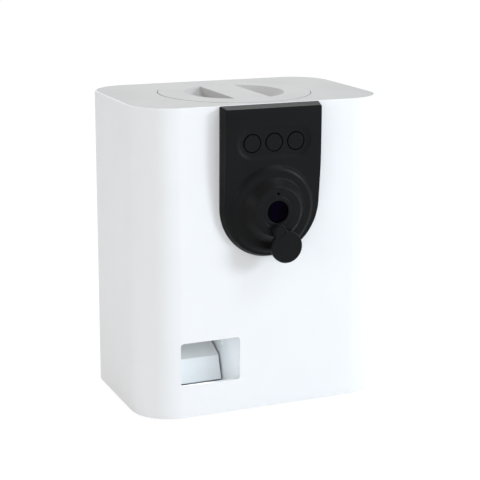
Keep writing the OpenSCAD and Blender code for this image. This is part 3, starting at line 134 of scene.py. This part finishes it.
# one material, or the sky, being painted
class Paint:
    def __init__(self, name, store=bpy.data.materials):
        self.made = store.new(name)
        self.made.use_nodes = True
        self.tree = self.made.node_tree
        self.tree.nodes.clear()

    # any node: its type, its settings first, then the values or links of its sockets
    def add(self, kind, settings=None, sockets=None, output=0):
        node = self.tree.nodes.new(kind)
        for key, value in (settings or {}).items():
            setattr(node, key, value)
        for key, value in (sockets or {}).items():
            socket = node.inputs[key]
            if isinstance(value, Wire):
                self.tree.links.new(value.socket, socket)
            else:
                socket.default_value = (*value, 1) if socket.type == "RGBA" else value
        return Wire(self, node.outputs[output]) if len(node.outputs) else None

    def place(self):
        return self.add("ShaderNodeTexCoord", output="Object")

    def axis(self, number):
        return self.add("ShaderNodeSeparateXYZ", {}, {0: self.place()}, number)

    def stretched(self, scale):
        return self.add("ShaderNodeVectorMath", {"operation": "MULTIPLY"}, {0: self.place(), 1: scale})

    # noise at so many bumps to the metre
    def noise(self, scale, where=None, detail=2.0):
        return self.add("ShaderNodeTexNoise", {}, {
            "Vector": where or self.place(), "Scale": scale, "Detail": detail, "Roughness": 0.55})

    def cells(self, scale):
        return self.add("ShaderNodeTexVoronoi", {}, {"Vector": self.place(), "Scale": scale})

    # 0 below the first of two values, 1 above the second, smooth between them
    def step(self, value, ends):
        low, high = ends
        return self.add("ShaderNodeMapRange", {"interpolation_type": "SMOOTHSTEP"}, {
            0: value, 1: low, 2: high, 3: 0.0, 4: 1.0})

    def mix(self, share, first, second):
        return self.add("ShaderNodeMix", {"data_type": "RGBA"}, {0: share, 6: first, 7: second}, 2)

    def bump(self, height, depth, strength):
        return self.add("ShaderNodeBump", {}, {"Strength": strength, "Distance": depth, "Height": height})

    def surface(self, sockets):
        shader = self.add("ShaderNodeBsdfPrincipled", {}, sockets)
        self.add("ShaderNodeOutputMaterial", {}, {"Surface": shader})
        return self.made

    # the first shader lights the set, the second is what the lens sees
    def shown(self, first, second, share):
        seen = self.add("ShaderNodeLightPath", {}, {}, "Is Camera Ray") * share
        return self.add("ShaderNodeMixShader", {}, {0: seen, 1: first, 2: second})


# moulded plastics: spark-eroded grain, faint flow clouds and handling marks
plastics = {
    "white_plastic": dict(name="housingWhite", colour=(0.87, 0.873, 0.877), cloud=(0.861, 0.864, 0.868),
                          rough=(0.34, 0.46), grain=1500, depth=0.00004, specular=0.42),
    "grey_plastic": dict(name="coverGrey", colour=(0.568, 0.565, 0.561), cloud=(0.553, 0.55, 0.546),
                         rough=(0.42, 0.56), grain=1300, depth=0.00005, specular=0.2),
    # the chute's white is painted brighter and bluer than the housing's white: white plastic with painted light on
    # top, standing in for the light inside the outlet window
    "inner_plastic": dict(name="chuteWhitePaintedLight", colour=(0.885, 0.91, 0.93), cloud=(0.86, 0.885, 0.905),
                          rough=(0.3, 0.44), grain=1100, depth=0.00003, specular=0.45),
    "black_plastic": dict(name="panelBlack", colour=(0.0046, 0.0046, 0.0049), cloud=(0.0038, 0.0038, 0.0041),
                          rough=(0.36, 0.48), grain=1600, depth=0.00005, specular=0.14),
    "gear_plastic": dict(name="gearAcetal", colour=(0.76, 0.74, 0.68), cloud=(0.70, 0.68, 0.62),
                         rough=(0.28, 0.42), grain=900, depth=0.00003, specular=0.5),
    "servo_plastic": dict(name="servoBlue", colour=(0.02, 0.07, 0.22), cloud=(0.016, 0.055, 0.18),
                          rough=(0.22, 0.4), grain=1200, depth=0.00003, specular=0.5),
    "chip_plastic": dict(name="chipBlack", colour=(0.018, 0.018, 0.019), cloud=(0.028, 0.028, 0.029),
                         rough=(0.5, 0.68), grain=2400, depth=0.00004, specular=0.35),
}
plasticMarks = {
    "cloudScale": 38, "cloudEnds": (0.35, 0.68), "speckScale": 0.6, "speckShare": 0.45,
    "scuffScale": 210, "scuffStretch": (1.0, 1.0, 0.22), "scuffEnds": (0.62, 0.78), "scuffShine": 0.05,
    "grainShare": 0.7, "grainStrength": 0.35, "index": 1.47,
}


def mouldedPlastic(look, marks=plasticMarks):
    paint = Paint(look["name"])
    clouds = paint.noise(marks["cloudScale"])
    grain = paint.cells(look["grain"])
    speck = paint.noise(look["grain"] * marks["speckScale"])
    scuff = paint.step(paint.noise(marks["scuffScale"], paint.stretched(marks["scuffStretch"]), detail=5.0),
                       marks["scuffEnds"])
    colour = paint.mix(paint.step(clouds, marks["cloudEnds"]), look["colour"], look["cloud"])
    low, high = look["rough"]
    share = marks["speckShare"]
    rough = low + (high - low) * ((1 - share) * clouds + share * speck) - marks["scuffShine"] * scuff
    height = grain * marks["grainShare"] + speck * (1 - marks["grainShare"])
    return paint.surface({
        "Base Color": colour, "Roughness": rough, "IOR": marks["index"],
        "Specular IOR Level": look["specular"],
        "Normal": paint.bump(height, look["depth"], marks["grainStrength"])})


# rubbers: matt, slightly bloomed, with a coarse grain
rubbers = {
    "foot_rubber": dict(name="footRubber", colour=(0.022, 0.022, 0.023), bloom=(0.05, 0.05, 0.052), rough=0.66),
    "silicone": dict(name="sealSilicone", colour=(0.62, 0.63, 0.63), bloom=(0.70, 0.71, 0.71), rough=0.42),
    "vane_rubber": dict(name="vaneRubber", colour=(0.55, 0.22, 0.06), bloom=(0.62, 0.28, 0.10), rough=0.5),
}
rubberMarks = {
    "bloomScale": 90, "bloomEnds": (0.42, 0.72), "grainScale": 1900, "grainRough": 0.16,
    "grainDepth": 0.00006, "grainStrength": 0.5, "specular": 0.32,
}


def mouldedRubber(look, marks=rubberMarks):
    paint = Paint(look["name"])
    bloom = paint.step(paint.noise(marks["bloomScale"], detail=4.0), marks["bloomEnds"])
    grain = paint.noise(marks["grainScale"])
    return paint.surface({
        "Base Color": paint.mix(bloom, look["colour"], look["bloom"]),
        "Roughness": look["rough"] + marks["grainRough"] * grain,
        "Specular IOR Level": marks["specular"],
        "Normal": paint.bump(grain, marks["grainDepth"], marks["grainStrength"])})


# metals: drawn or turned lines along one axis, slight tarnish
metals = {
    "steel": dict(name="screwSteel", colour=(0.60, 0.60, 0.61), tarnish=(0.42, 0.42, 0.43), rough=0.2,
                  lines=(2600, 2600, 90)),
    "bronze": dict(name="bushBronze", colour=(0.50, 0.30, 0.13), tarnish=(0.34, 0.19, 0.08), rough=0.28,
                   lines=(1400, 1400, 1400)),
    "brass": dict(name="pinionBrass", colour=(0.70, 0.50, 0.20), tarnish=(0.52, 0.36, 0.14), rough=0.18,
                  lines=(120, 2600, 2600)),
    "motor_metal": dict(name="motorTin", colour=(0.56, 0.56, 0.55), tarnish=(0.44, 0.44, 0.43), rough=0.26,
                        lines=(60, 1800, 1800)),
}
metalMarks = {
    "tarnishScale": 140, "tarnishEnds": (0.45, 0.75), "tarnishRough": 0.12,
    "lineRough": 0.16, "lineDepth": 0.00003, "lineStrength": 0.4,
}


def drawnMetal(look, marks=metalMarks):
    paint = Paint(look["name"])
    lines = paint.noise(1.0, paint.stretched(look["lines"]))
    tarnish = paint.step(paint.noise(marks["tarnishScale"], detail=4.0), marks["tarnishEnds"])
    return paint.surface({
        "Base Color": paint.mix(tarnish, look["colour"], look["tarnish"]),
        "Metallic": 1.0,
        "Roughness": look["rough"] + marks["lineRough"] * lines + marks["tarnishRough"] * tarnish,
        "Normal": paint.bump(lines, marks["lineDepth"], marks["lineStrength"])})


# circuit boards: green mask over tracks, with tinned pads
boardLook = {
    "name": "boardMask", "mask": (0.012, 0.105, 0.045), "track": (0.022, 0.155, 0.070), "pad": (0.55, 0.55, 0.53),
    "rowPitch": 520, "jogScale": 160, "jogReach": 3.0, "rowEnds": (0.22, 0.30), "rowHeight": 0.6,
    "padScale": 330, "padEnds": (0.13, 0.16), "padMetal": 0.9,
    "rough": 0.34, "roughScale": 700, "roughSpan": 0.1, "depth": 0.00006, "strength": 0.6,
}


def circuitBoard(look):
    paint = Paint(look["name"])
    along = paint.axis(2) * look["rowPitch"] + paint.noise(look["jogScale"], detail=0.0) * look["jogReach"]
    rows = paint.step(abs(along.fraction() - 0.5), look["rowEnds"])
    pads = 1.0 - paint.step(paint.cells(look["padScale"]), look["padEnds"])
    colour = paint.mix(pads, paint.mix(rows, look["mask"], look["track"]), look["pad"])
    return paint.surface({
        "Base Color": colour, "Metallic": pads * look["padMetal"],
        "Roughness": look["rough"] + look["roughSpan"] * paint.noise(look["roughScale"]),
        "Normal": paint.bump(rows * look["rowHeight"] + pads, look["depth"], look["strength"])})


# coated camera glass: nearly black, with a violet bloom on its coating
glassLook = {
    "name": "lensCoating", "colour": (0.0004, 0.0002, 0.0012), "bloom": (0.0016, 0.0003, 0.0052),
    "bloomScale": 110, "bloomEnds": (0.40, 0.66), "rough": 0.05, "roughScale": 300, "roughSpan": 0.05,
    "index": 1.52, "specular": 0.012,
}


def coatedGlass(look):
    paint = Paint(look["name"])
    bloom = paint.step(paint.noise(look["bloomScale"], detail=1.0), look["bloomEnds"])
    return paint.surface({
        "Base Color": paint.mix(bloom, look["colour"], look["bloom"]),
        "Roughness": look["rough"] + look["roughSpan"] * paint.noise(look["roughScale"], detail=3.0),
        "IOR": look["index"], "Specular IOR Level": look["specular"]})


# flat leads: conductors side by side under a thin skin
strips = {
    "ribbon": dict(name="ribbonFilm", skin=(0.62, 0.60, 0.52), wire=(0.75, 0.72, 0.62), pitch=1000, rough=0.32),
    "cable": dict(name="leadSkin", skin=(0.035, 0.035, 0.038), wire=(0.36, 0.03, 0.025), pitch=420, rough=0.46),
}
stripMarks = {
    "turn": 6.2832, "wireEnds": (0.35, 0.65), "roughScale": 800, "roughSpan": 0.12,
    "depth": 0.00012, "strength": 0.6,
}


def flatLead(look, marks=stripMarks):
    paint = Paint(look["name"])
    wave = (paint.axis(0) * look["pitch"] * marks["turn"]).sine() * 0.5 + 0.5
    share = paint.step(wave, marks["wireEnds"])
    return paint.surface({
        "Base Color": paint.mix(share, look["skin"], look["wire"]),
        "Roughness": look["rough"] + marks["roughSpan"] * paint.noise(marks["roughScale"]),
        "Normal": paint.bump(wave, marks["depth"], marks["strength"])})


finishes = {slot: mouldedPlastic(look) for slot, look in plastics.items()}
finishes.update({slot: mouldedRubber(look) for slot, look in rubbers.items()})
finishes.update({slot: drawnMetal(look) for slot, look in metals.items()})
finishes.update({slot: flatLead(look) for slot, look in strips.items()})
finishes["circuit_board"] = circuitBoard(boardLook)
finishes["lens_glass"] = coatedGlass(glassLook)
print("finishes painted:", len(finishes))


# edge rounding of the solids: widths in millimetres, the least angle of an edge in degrees
edgeLook = {
    "widths": {
        "housing_shell": 0.5, "kicker": 0.25,
        "button_left": 0.35, "button_middle": 0.35, "button_right": 0.35,
    },
    "usual": 0.2,
    "segments": 2,
    "angle": 32,
    "weld": 0.000005,
    "clean": 0.000001,  # takes out slivers that the rounding leaves
    "normalWeight": 60,
}


def evenNormals(made, weight):
    shade = made.modifiers.new("shade", "WEIGHTED_NORMAL")
    shade.keep_sharp = False
    shade.weight = weight


def addWeld(made, name, distance):
    weld = made.modifiers.new(name, "WELD")
    weld.merge_threshold = distance


def dressNode(name, look):
    node = nodes[name]
    node.data.materials.clear()
    node.data.materials.append(finishes[slotOf[name]])
    addWeld(node, "weld", look["weld"])
    edge = node.modifiers.new("edge", "BEVEL")
    edge.width = look["widths"].get(name, look["usual"]) / perMetre
    edge.segments = look["segments"]
    edge.limit_method = "ANGLE"
    edge.angle_limit = math.radians(look["angle"])
    edge.use_clamp_overlap = True
    addWeld(node, "clean", look["clean"])
    evenNormals(node, look["normalWeight"])
    for face in node.data.polygons:
        face.use_smooth = True


for name in nodes:
    dressNode(name, edgeLook)
print("solids dressed")


# a mesh piece made from loops of points, in millimetres
class Former:
    def __init__(self):
        self.bm = bmesh.new()

    def loop(self, points):
        return [self.bm.verts.new(Vector(point) / perMetre) for point in points]

    # faces between two loops of the same count
    def skin(self, first, second):
        count = len(first)
        for k in range(count):
            after = (k + 1) % count
            self.bm.faces.new((first[k], first[after], second[after], second[k]))

    def skins(self, loops):
        for first, second in zip(loops, loops[1:]):
            self.skin(first, second)

    # a flat face with holes
    def cap(self, *loops):
        edges = []
        for loop in loops:
            for pair in zip(loop, loop[1:] + loop[:1]):
                edges.append(self.bm.edges.get(pair) or self.bm.edges.new(pair))
        bmesh.ops.triangle_fill(self.bm, use_beauty=True, use_dissolve=False, edges=edges)

    def piece(self, name, body, slot, *replaced):
        bmesh.ops.recalc_face_normals(self.bm, faces=self.bm.faces[:])
        mesh = bpy.data.meshes.new(name)
        self.bm.to_mesh(mesh)
        self.bm.free()
        for face in mesh.polygons:
            face.use_smooth = True
        mesh.materials.append(finishes[slot])
        made = bpy.data.objects.new(name, mesh)
        scene.collection.objects.link(made)
        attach(made, body)
        if replaced:
            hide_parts(*replaced)
        return made


def softStep(share):
    return share * share * (3 - 2 * share)


# a straight slope with rounded ends
def ramp(share, soft):
    if share > 0.5:
        return 1 - ramp(1 - share, soft)
    return (share * share / (2 * soft) if share < soft else share - soft / 2) / (1 - soft)


def between(ends, share):
    return ends[0] + (ends[1] - ends[0]) * share


# points of a circle, as pairs
def circle(radius, count):
    turns = [2 * math.pi * k / count for k in range(count)]
    return [(radius * math.cos(turn), radius * math.sin(turn)) for turn in turns]


# camera panel: drafted shield whose face falls back towards its round end,
# a soft button recess, two rings round the lens (millimetres, "out" is towards the viewer)
panelLook = {
    "front": -54.0, "proud": 7.2, "fall": 3.4, "fallFrom": 160.0, "fallTo": 112.0,
    "half": 32.1, "draft": 1.5, "top": 189.8, "arcZ": 129.6, "edge": 0.6, "corner": 0.9,
    "sideLifts": (0, 0.3, 0.6), "edgeDraft": 0.9, "topSplits": (-0.6, -0.2, 0.2, 0.6), "sideSplits": 18,
    "cornerSteps": 4, "arcSteps": 60, "edgeSteps": 5,
    "recessZ": 168.0, "recessWide": 28.0, "recessHigh": 17.5, "recessDeep": 0.62, "recessSlope": 3.6,
    "recessSteps": 6, "pillSteps": 24,
    "buttonX": (-14.0, 0.0, 14.0), "buttonHole": 5.65,
    "buttonLip": ((0.18, 0), (0.07, 0.03), (0, 0.12), (0, 1.2)),
    "lensZ": 127.4, "nose": 13.4,
    "ringOne": (27.3, 23.4), "ringOneRise": 2.2, "ringOneRoll": 1.8, "ringOneSoft": 0.1, "ringOneSteps": 12,
    "ringTwo": (20.2, 14.4), "ringTwoSoft": 0.14, "ringTwoSteps": 14,
    "trim": (9.95, 9.1), "trimDeep": 0.2, "trimLip": ((0.1, 0), (0, 0.15), (-0.15, 0.8), (-0.3, 1)),
    "lensHole": 6.75, "lensLip": ((0.45, 0), (0.2, 0.06), (0.05, 0.2), (0, 0.4), (0, 0.92)),
    "micUp": 11.0, "micHole": 0.78, "micDeep": 2.1,
    "pivotDown": 11.0, "pivotSeat": 3.7, "pivotRise": 0.55,
    "pivotFoot": ((0.5, -0.3), (0.42, 0.02), (0.15, 0.1), (0.02, 0.25)),
    "pivotHead": ((0, 0.7), (-0.06, 0.9), (-0.2, 1), (-1.4, 1)),
    "skin": 0.9, "normalWeight": 80,
    "roundCount": 72, "smallCount": 48, "micCount": 20,
}


def faceOut(look, z):
    share = (look["fallFrom"] - z) / (look["fallFrom"] - look["fallTo"])
    return look["proud"] - look["fall"] * softStep(min(max(share, 0), 1))


def panelPoint(look, x, z, out):
    return (x, look["front"] - out, z)


# outline of the shield, at a share of the face's height and so far under it
def shieldLoop(look, inset, lift, under=0.0):
    half = look["half"] - inset
    top = look["top"] - inset
    corner = look["corner"]
    arcZ = look["arcZ"]
    flat = []
    for sign, turn in ((-1, 180), (1, 90)):
        for k in range(look["cornerSteps"] + 1):
            angle = math.radians(turn - 90 * k / look["cornerSteps"])
            flat.append((sign * (half - corner) + corner * math.cos(angle), top - corner + corner * math.sin(angle)))
        if sign < 0:
            flat += [(half * x, top) for x in look["topSplits"]]
    splits = look["sideSplits"]
    steps = [arcZ + (top - arcZ) * k / splits for k in range(1, splits - 1)]
    flat += [(half, z) for z in reversed(steps)]
    for k in range(look["arcSteps"] + 1):
        angle = math.radians(-180 * k / look["arcSteps"])
        flat.append((half * math.cos(angle), arcZ + half * math.sin(angle)))
    flat += [(-half, z) for z in steps]
    return [panelPoint(look, x, z, lift * faceOut(look, z) - under) for x, z in flat]


def roundLoop(look, x, z, radius, out, count):
    return [panelPoint(look, x + dx, z + dz, out) for dx, dz in circle(radius, count)]


# a circle round the lens, so far above the face, then by a share of the way up to the nose
def lensLoop(look, radius, rise, share):
    loop = []
    for x, dz in circle(radius, look["roundCount"]):
        z = look["lensZ"] + dz
        out = faceOut(look, z) + rise
        loop.append(panelPoint(look, x, z, out + (look["nose"] - out) * share))
    return loop


# outline of the button recess
def pillLoop(look, grow, out):
    high = look["recessHigh"] / 2 + grow
    wide = look["recessWide"] / 2
    flat = []
    for sign, start in ((1, -90), (-1, 90)):
        for k in range(look["pillSteps"] + 1):
            angle = math.radians(start + 180 * k / look["pillSteps"])
            flat.append((sign * wide + high * math.cos(angle), look["recessZ"] + high * math.sin(angle)))
    return [panelPoint(look, x, z, out) for x, z in flat]


def formSides(former, look):
    edge = look["edge"]
    sides = [former.loop(shieldLoop(look, look["draft"] * lift, lift)) for lift in look["sideLifts"]]
    for k in range(look["edgeSteps"] + 1):
        angle = math.radians(90 * k / look["edgeSteps"])
        inset = look["edgeDraft"] * look["draft"] + edge * (1 - math.cos(angle))
        sides.append(former.loop(shieldLoop(look, inset, 1, edge * (1 - math.sin(angle)))))
    former.skins(sides)
    return sides[-1]


def formRecess(former, look):
    face = look["proud"]
    recess = []
    for k in range(look["recessSteps"] + 1):
        share = k / look["recessSteps"]
        out = face - look["recessDeep"] * softStep(share)
        recess.append(former.loop(pillLoop(look, look["recessSlope"] * (0.5 - share), out)))
    former.skins(recess)
    holes = []
    for x in look["buttonX"]:
        hole = [former.loop(roundLoop(look, x, look["recessZ"], look["buttonHole"] + grow,
                                      face - look["recessDeep"] - sunk, look["smallCount"]))
                for grow, sunk in look["buttonLip"]]
        former.skins(hole)
        holes.append(hole[0])
    former.cap(recess[-1], *holes)
    return recess[0]


def formRings(former, look):
    rise = look["ringOneRise"]
    rings = []
    for k in range(look["ringOneSteps"] + 1):
        share = k / look["ringOneSteps"]
        rolled = 1 - (1 - ramp(share, look["ringOneSoft"])) ** look["ringOneRoll"]
        rings.append(former.loop(lensLoop(look, between(look["ringOne"], share), rise * rolled, 0)))
    for k in range(look["ringTwoSteps"] + 1):
        share = k / look["ringTwoSteps"]
        lifted = ramp(share, look["ringTwoSoft"])
        rings.append(former.loop(lensLoop(look, between(look["ringTwo"], share), rise, lifted)))
    former.skins(rings)
    return rings


# trim groove, lens seat and microphone hole in the nose
def formNose(former, look, rim):
    nose = look["nose"]
    wide, narrow = look["trim"]
    deep = look["trimDeep"]
    profile = [(wide + grow, sunk * deep) for grow, sunk in look["trimLip"]]
    profile += [(narrow - grow, sunk * deep) for grow, sunk in reversed(look["trimLip"])]
    profile += [(look["lensHole"] + grow, sunk) for grow, sunk in look["lensLip"]]
    inner = [former.loop(roundLoop(look, 0, look["lensZ"], radius, nose - sunk, look["roundCount"]))
             for radius, sunk in profile]
    former.skins(inner)
    mic = [former.loop(roundLoop(look, 0, look["lensZ"] + look["micUp"], look["micHole"], nose - sunk,
                                 look["micCount"]))
           for sunk in (0, look["micDeep"])]
    former.skins(mic)
    former.cap(mic[-1])
    former.cap(rim, inner[0], mic[0])


def buildPanel(look):
    former = Former()
    outline = formSides(former, look)
    recess = formRecess(former, look)
    rings = formRings(former, look)
    formNose(former, look, rings[-1])
    former.cap(outline, recess, rings[0])
    panel = former.piece("cameraPanel", "housing", "black_plastic", "front_panel")
    skin = panel.modifiers.new("skin", "SOLIDIFY")
    skin.thickness = look["skin"] / perMetre
    skin.offset = -1
    skin.use_even_offset = True
    evenNormals(panel, look["normalWeight"])


# the round seat that the lens cover turns on
def buildSeat(look):
    seat = Former()
    profile = look["pivotFoot"] + tuple((grow, share * look["pivotRise"]) for grow, share in look["pivotHead"])
    loops = [seat.loop(roundLoop(look, 0, look["lensZ"] - look["pivotDown"], look["pivotSeat"] + grow,
                                 look["nose"] + out, look["smallCount"]))
             for grow, out in profile]
    seat.skins(loops)
    seat.cap(loops[0])
    seat.cap(loops[-1])
    evenNormals(seat.piece("pivotSeat", "housing", "black_plastic"), look["normalWeight"])


buildPanel(panelLook)
buildSeat(panelLook)
print("camera panel formed")


# swivel cover of the lens: a round paddle with a neck to its pivot (millimetres, degrees)
coverLook = {
    "front": -54.0, "pivotZ": 116.4, "rest": 25.0, "back": 14.2, "thick": 2.6, "arm": 11.0, "disc": 9.9, "neck": 4.2,
    "blend": 1.6, "swell": 0.5, "neckSine": 0.6, "edge": 0.8, "edgeSteps": 6,
    "edgeFoot": ((0.5, 0), (0.15, 0.15), (0, 0.5)),
    "bore": 1.95, "sink": 3.3, "sinkDeep": 1.0, "sinkEdge": 0.15,
    "rimCount": 144, "boreCount": 48, "normalWeight": 80,
}


# distance from the disc's middle to the paddle's outline
def paddleReach(look, angle, inset):
    disc = look["disc"] - inset
    half = look["neck"] - inset
    sine, cosine = abs(math.sin(angle)), math.cos(angle)
    if cosine <= 0 or sine >= look["neckSine"]:
        return disc
    arm = look["arm"]
    tiny = 0.001
    end = arm * cosine + math.sqrt(half * half - (arm * sine) ** 2) if arm * sine < half else 0
    side = half / max(sine, tiny)
    neck = end if side > arm / max(cosine, tiny) else min(side, end or side)
    soft = look["blend"]
    if neck <= disc - soft:
        return disc
    share = max(min(0.5 + 0.5 * (neck - disc) / soft, 1), 0)
    return disc + (neck - disc) * share + look["swell"] * soft * share * (1 - share)


def paddleLoop(look, inset, out):
    turn = math.radians(look["rest"])
    count = look["rimCount"]
    loop = []
    for k in range(count):
        angle = 2 * math.pi * k / count
        reach = paddleReach(look, angle, inset)
        x = reach * math.sin(angle)
        z = reach * math.cos(angle) - look["arm"]
        loop.append((x * math.cos(turn) - z * math.sin(turn), look["front"] - look["back"] - out,
                     look["pivotZ"] + x * math.sin(turn) + z * math.cos(turn)))
    return loop


def pivotLoop(look, radius, out):
    return [(x, look["front"] - look["back"] - out, look["pivotZ"] + z) for x, z in circle(radius, look["boreCount"])]


def buildCover(look):
    former = Former()
    thick, edge = look["thick"], look["edge"]
    rim = [(inset * edge, out * edge) for inset, out in look["edgeFoot"]] + [(0, thick - edge)]
    for k in range(1, look["edgeSteps"] + 1):
        angle = math.radians(90 * k / look["edgeSteps"])
        rim.append((edge * (1 - math.cos(angle)), thick - edge + edge * math.sin(angle)))
    sides = [former.loop(paddleLoop(look, inset, out)) for inset, out in rim]
    former.skins(sides)
    floor = thick - look["sinkDeep"]
    bevel = look["sinkEdge"]
    bore = [former.loop(pivotLoop(look, radius, out)) for radius, out in (
        (look["bore"], 0), (look["bore"], floor), (look["sink"], floor),
        (look["sink"], thick - bevel), (look["sink"] + bevel, thick))]
    former.skins(bore)
    former.cap(sides[0], bore[0])
    former.cap(sides[-1], bore[-1])
    paddle = former.piece("lensCoverPaddle", "lens_cover", "black_plastic", "lens_cover")
    evenNormals(paddle, look["normalWeight"])


buildCover(coverLook)
print("lens cover formed")


# pale floor and soft studio light
studio = {
    "floor": (0.93, 0.93, 0.93),
    "floorShade": 0.985,
    "floorCloud": 3.0,
    "floorRough": (0.9, 0.8),
    "floorSpecular": 0.1,
    "floorSize": 12.0,
    "floorSplits": 8,
    "floorClean": 0.9,  # share of the floor that the lens sees as paper white
    "glowStrength": 1.06,
    "sky": (1.0, 1.0, 1.0),
    "skyStrength": 0.57,
    "paperStrength": 1.0,
    "lights": {
        "keyLight": dict(at=(1.80, -1.40, 0.75), aim=(0, 0, 0.1), size=0.6, power=25.0, tint=(0.79, 0.89, 1.0)),
        "sideLight": dict(at=(-1.6, -0.8, 0.6), aim=(0, 0, 0.1), size=0.7, power=4.2, tint=(1.0, 0.99, 0.99)),
        "overLight": dict(at=(0.75, -0.80, 1.45), aim=(0, -0.05, 0.13), size=0.5, power=4.5, tint=(0.88, 0.95, 1.0)),
        "topLight": dict(at=(-0.3, 0.25, 1.7), aim=(0, 0, 0.15), size=1.2, power=3.3, tint=(1.0, 1.0, 0.98)),
        "tableLight": dict(at=(-0.42, -0.85, 0.02), aim=(0, -0.06, 0.12), size=0.3, power=0.35,
                           tint=(0.95, 0.98, 1.0)),
        "backLight": dict(at=(0.50, 1.30, 0.85), aim=(0, 0, 0.19), size=0.8, power=2.9, tint=(1.0, 1.0, 0.99)),
        # daylight that falls in through the outlet window
        "windowLight": dict(at=(-0.0465, -0.0536, 0.035), aim=(-0.0425, 0.0, 0.035), size=0.019, high=0.0255,
                            power=0.005, tint=(0.81, 0.935, 1.0)),
    },
}


def buildFloor(look):
    paint = Paint("studioFloor")
    shade = paint.noise(look["floorCloud"])
    pale = tuple(v * look["floorShade"] for v in look["floor"])
    matt, smooth = look["floorRough"]
    card = paint.add("ShaderNodeBsdfPrincipled", {}, {
        "Base Color": paint.mix(shade, look["floor"], pale), "Roughness": matt - (matt - smooth) * shade,
        "Specular IOR Level": look["floorSpecular"]})
    glow = paint.add("ShaderNodeEmission", {}, {"Color": look["sky"], "Strength": look["glowStrength"]})
    paint.add("ShaderNodeOutputMaterial", {}, {"Surface": paint.shown(card, glow, look["floorClean"])})
    mesh = bpy.data.meshes.new("studioFloor")
    splits = look["floorSplits"]
    bm = bmesh.new()
    bmesh.ops.create_grid(bm, x_segments=splits, y_segments=splits, size=look["floorSize"])
    bm.to_mesh(mesh)
    bm.free()
    mesh.materials.append(paint.made)
    floor = bpy.data.objects.new("studioFloor", mesh)
    scene.collection.objects.link(floor)


def hangSky(look):
    paint = Paint("softSky", bpy.data.worlds)
    soft = paint.add("ShaderNodeBackground", {}, {"Color": look["sky"], "Strength": look["skyStrength"]})
    paper = paint.add("ShaderNodeBackground", {}, {"Color": look["sky"], "Strength": look["paperStrength"]})
    paint.add("ShaderNodeOutputWorld", {}, {"Surface": paint.shown(soft, paper, 1.0)})
    scene.world = paint.made


def hangLight(name, look):
    data = bpy.data.lights.new(name, "AREA")
    data.energy = look["power"]
    data.color = look["tint"]
    data.shape = "RECTANGLE" if "high" in look else "DISK"
    data.size = look["size"]
    data.size_y = look.get("high", look["size"])
    light = bpy.data.objects.new(name, data)
    light.location = look["at"]
    light.rotation_euler = (Vector(look["aim"]) - Vector(look["at"])).to_track_quat("-Z", "Y").to_euler()
    scene.collection.objects.link(light)


buildFloor(studio)
for name, look in studio["lights"].items():
    hangLight(name, look)
hangSky(studio)
scene.view_settings.view_transform = "Standard"
print("studio lit")
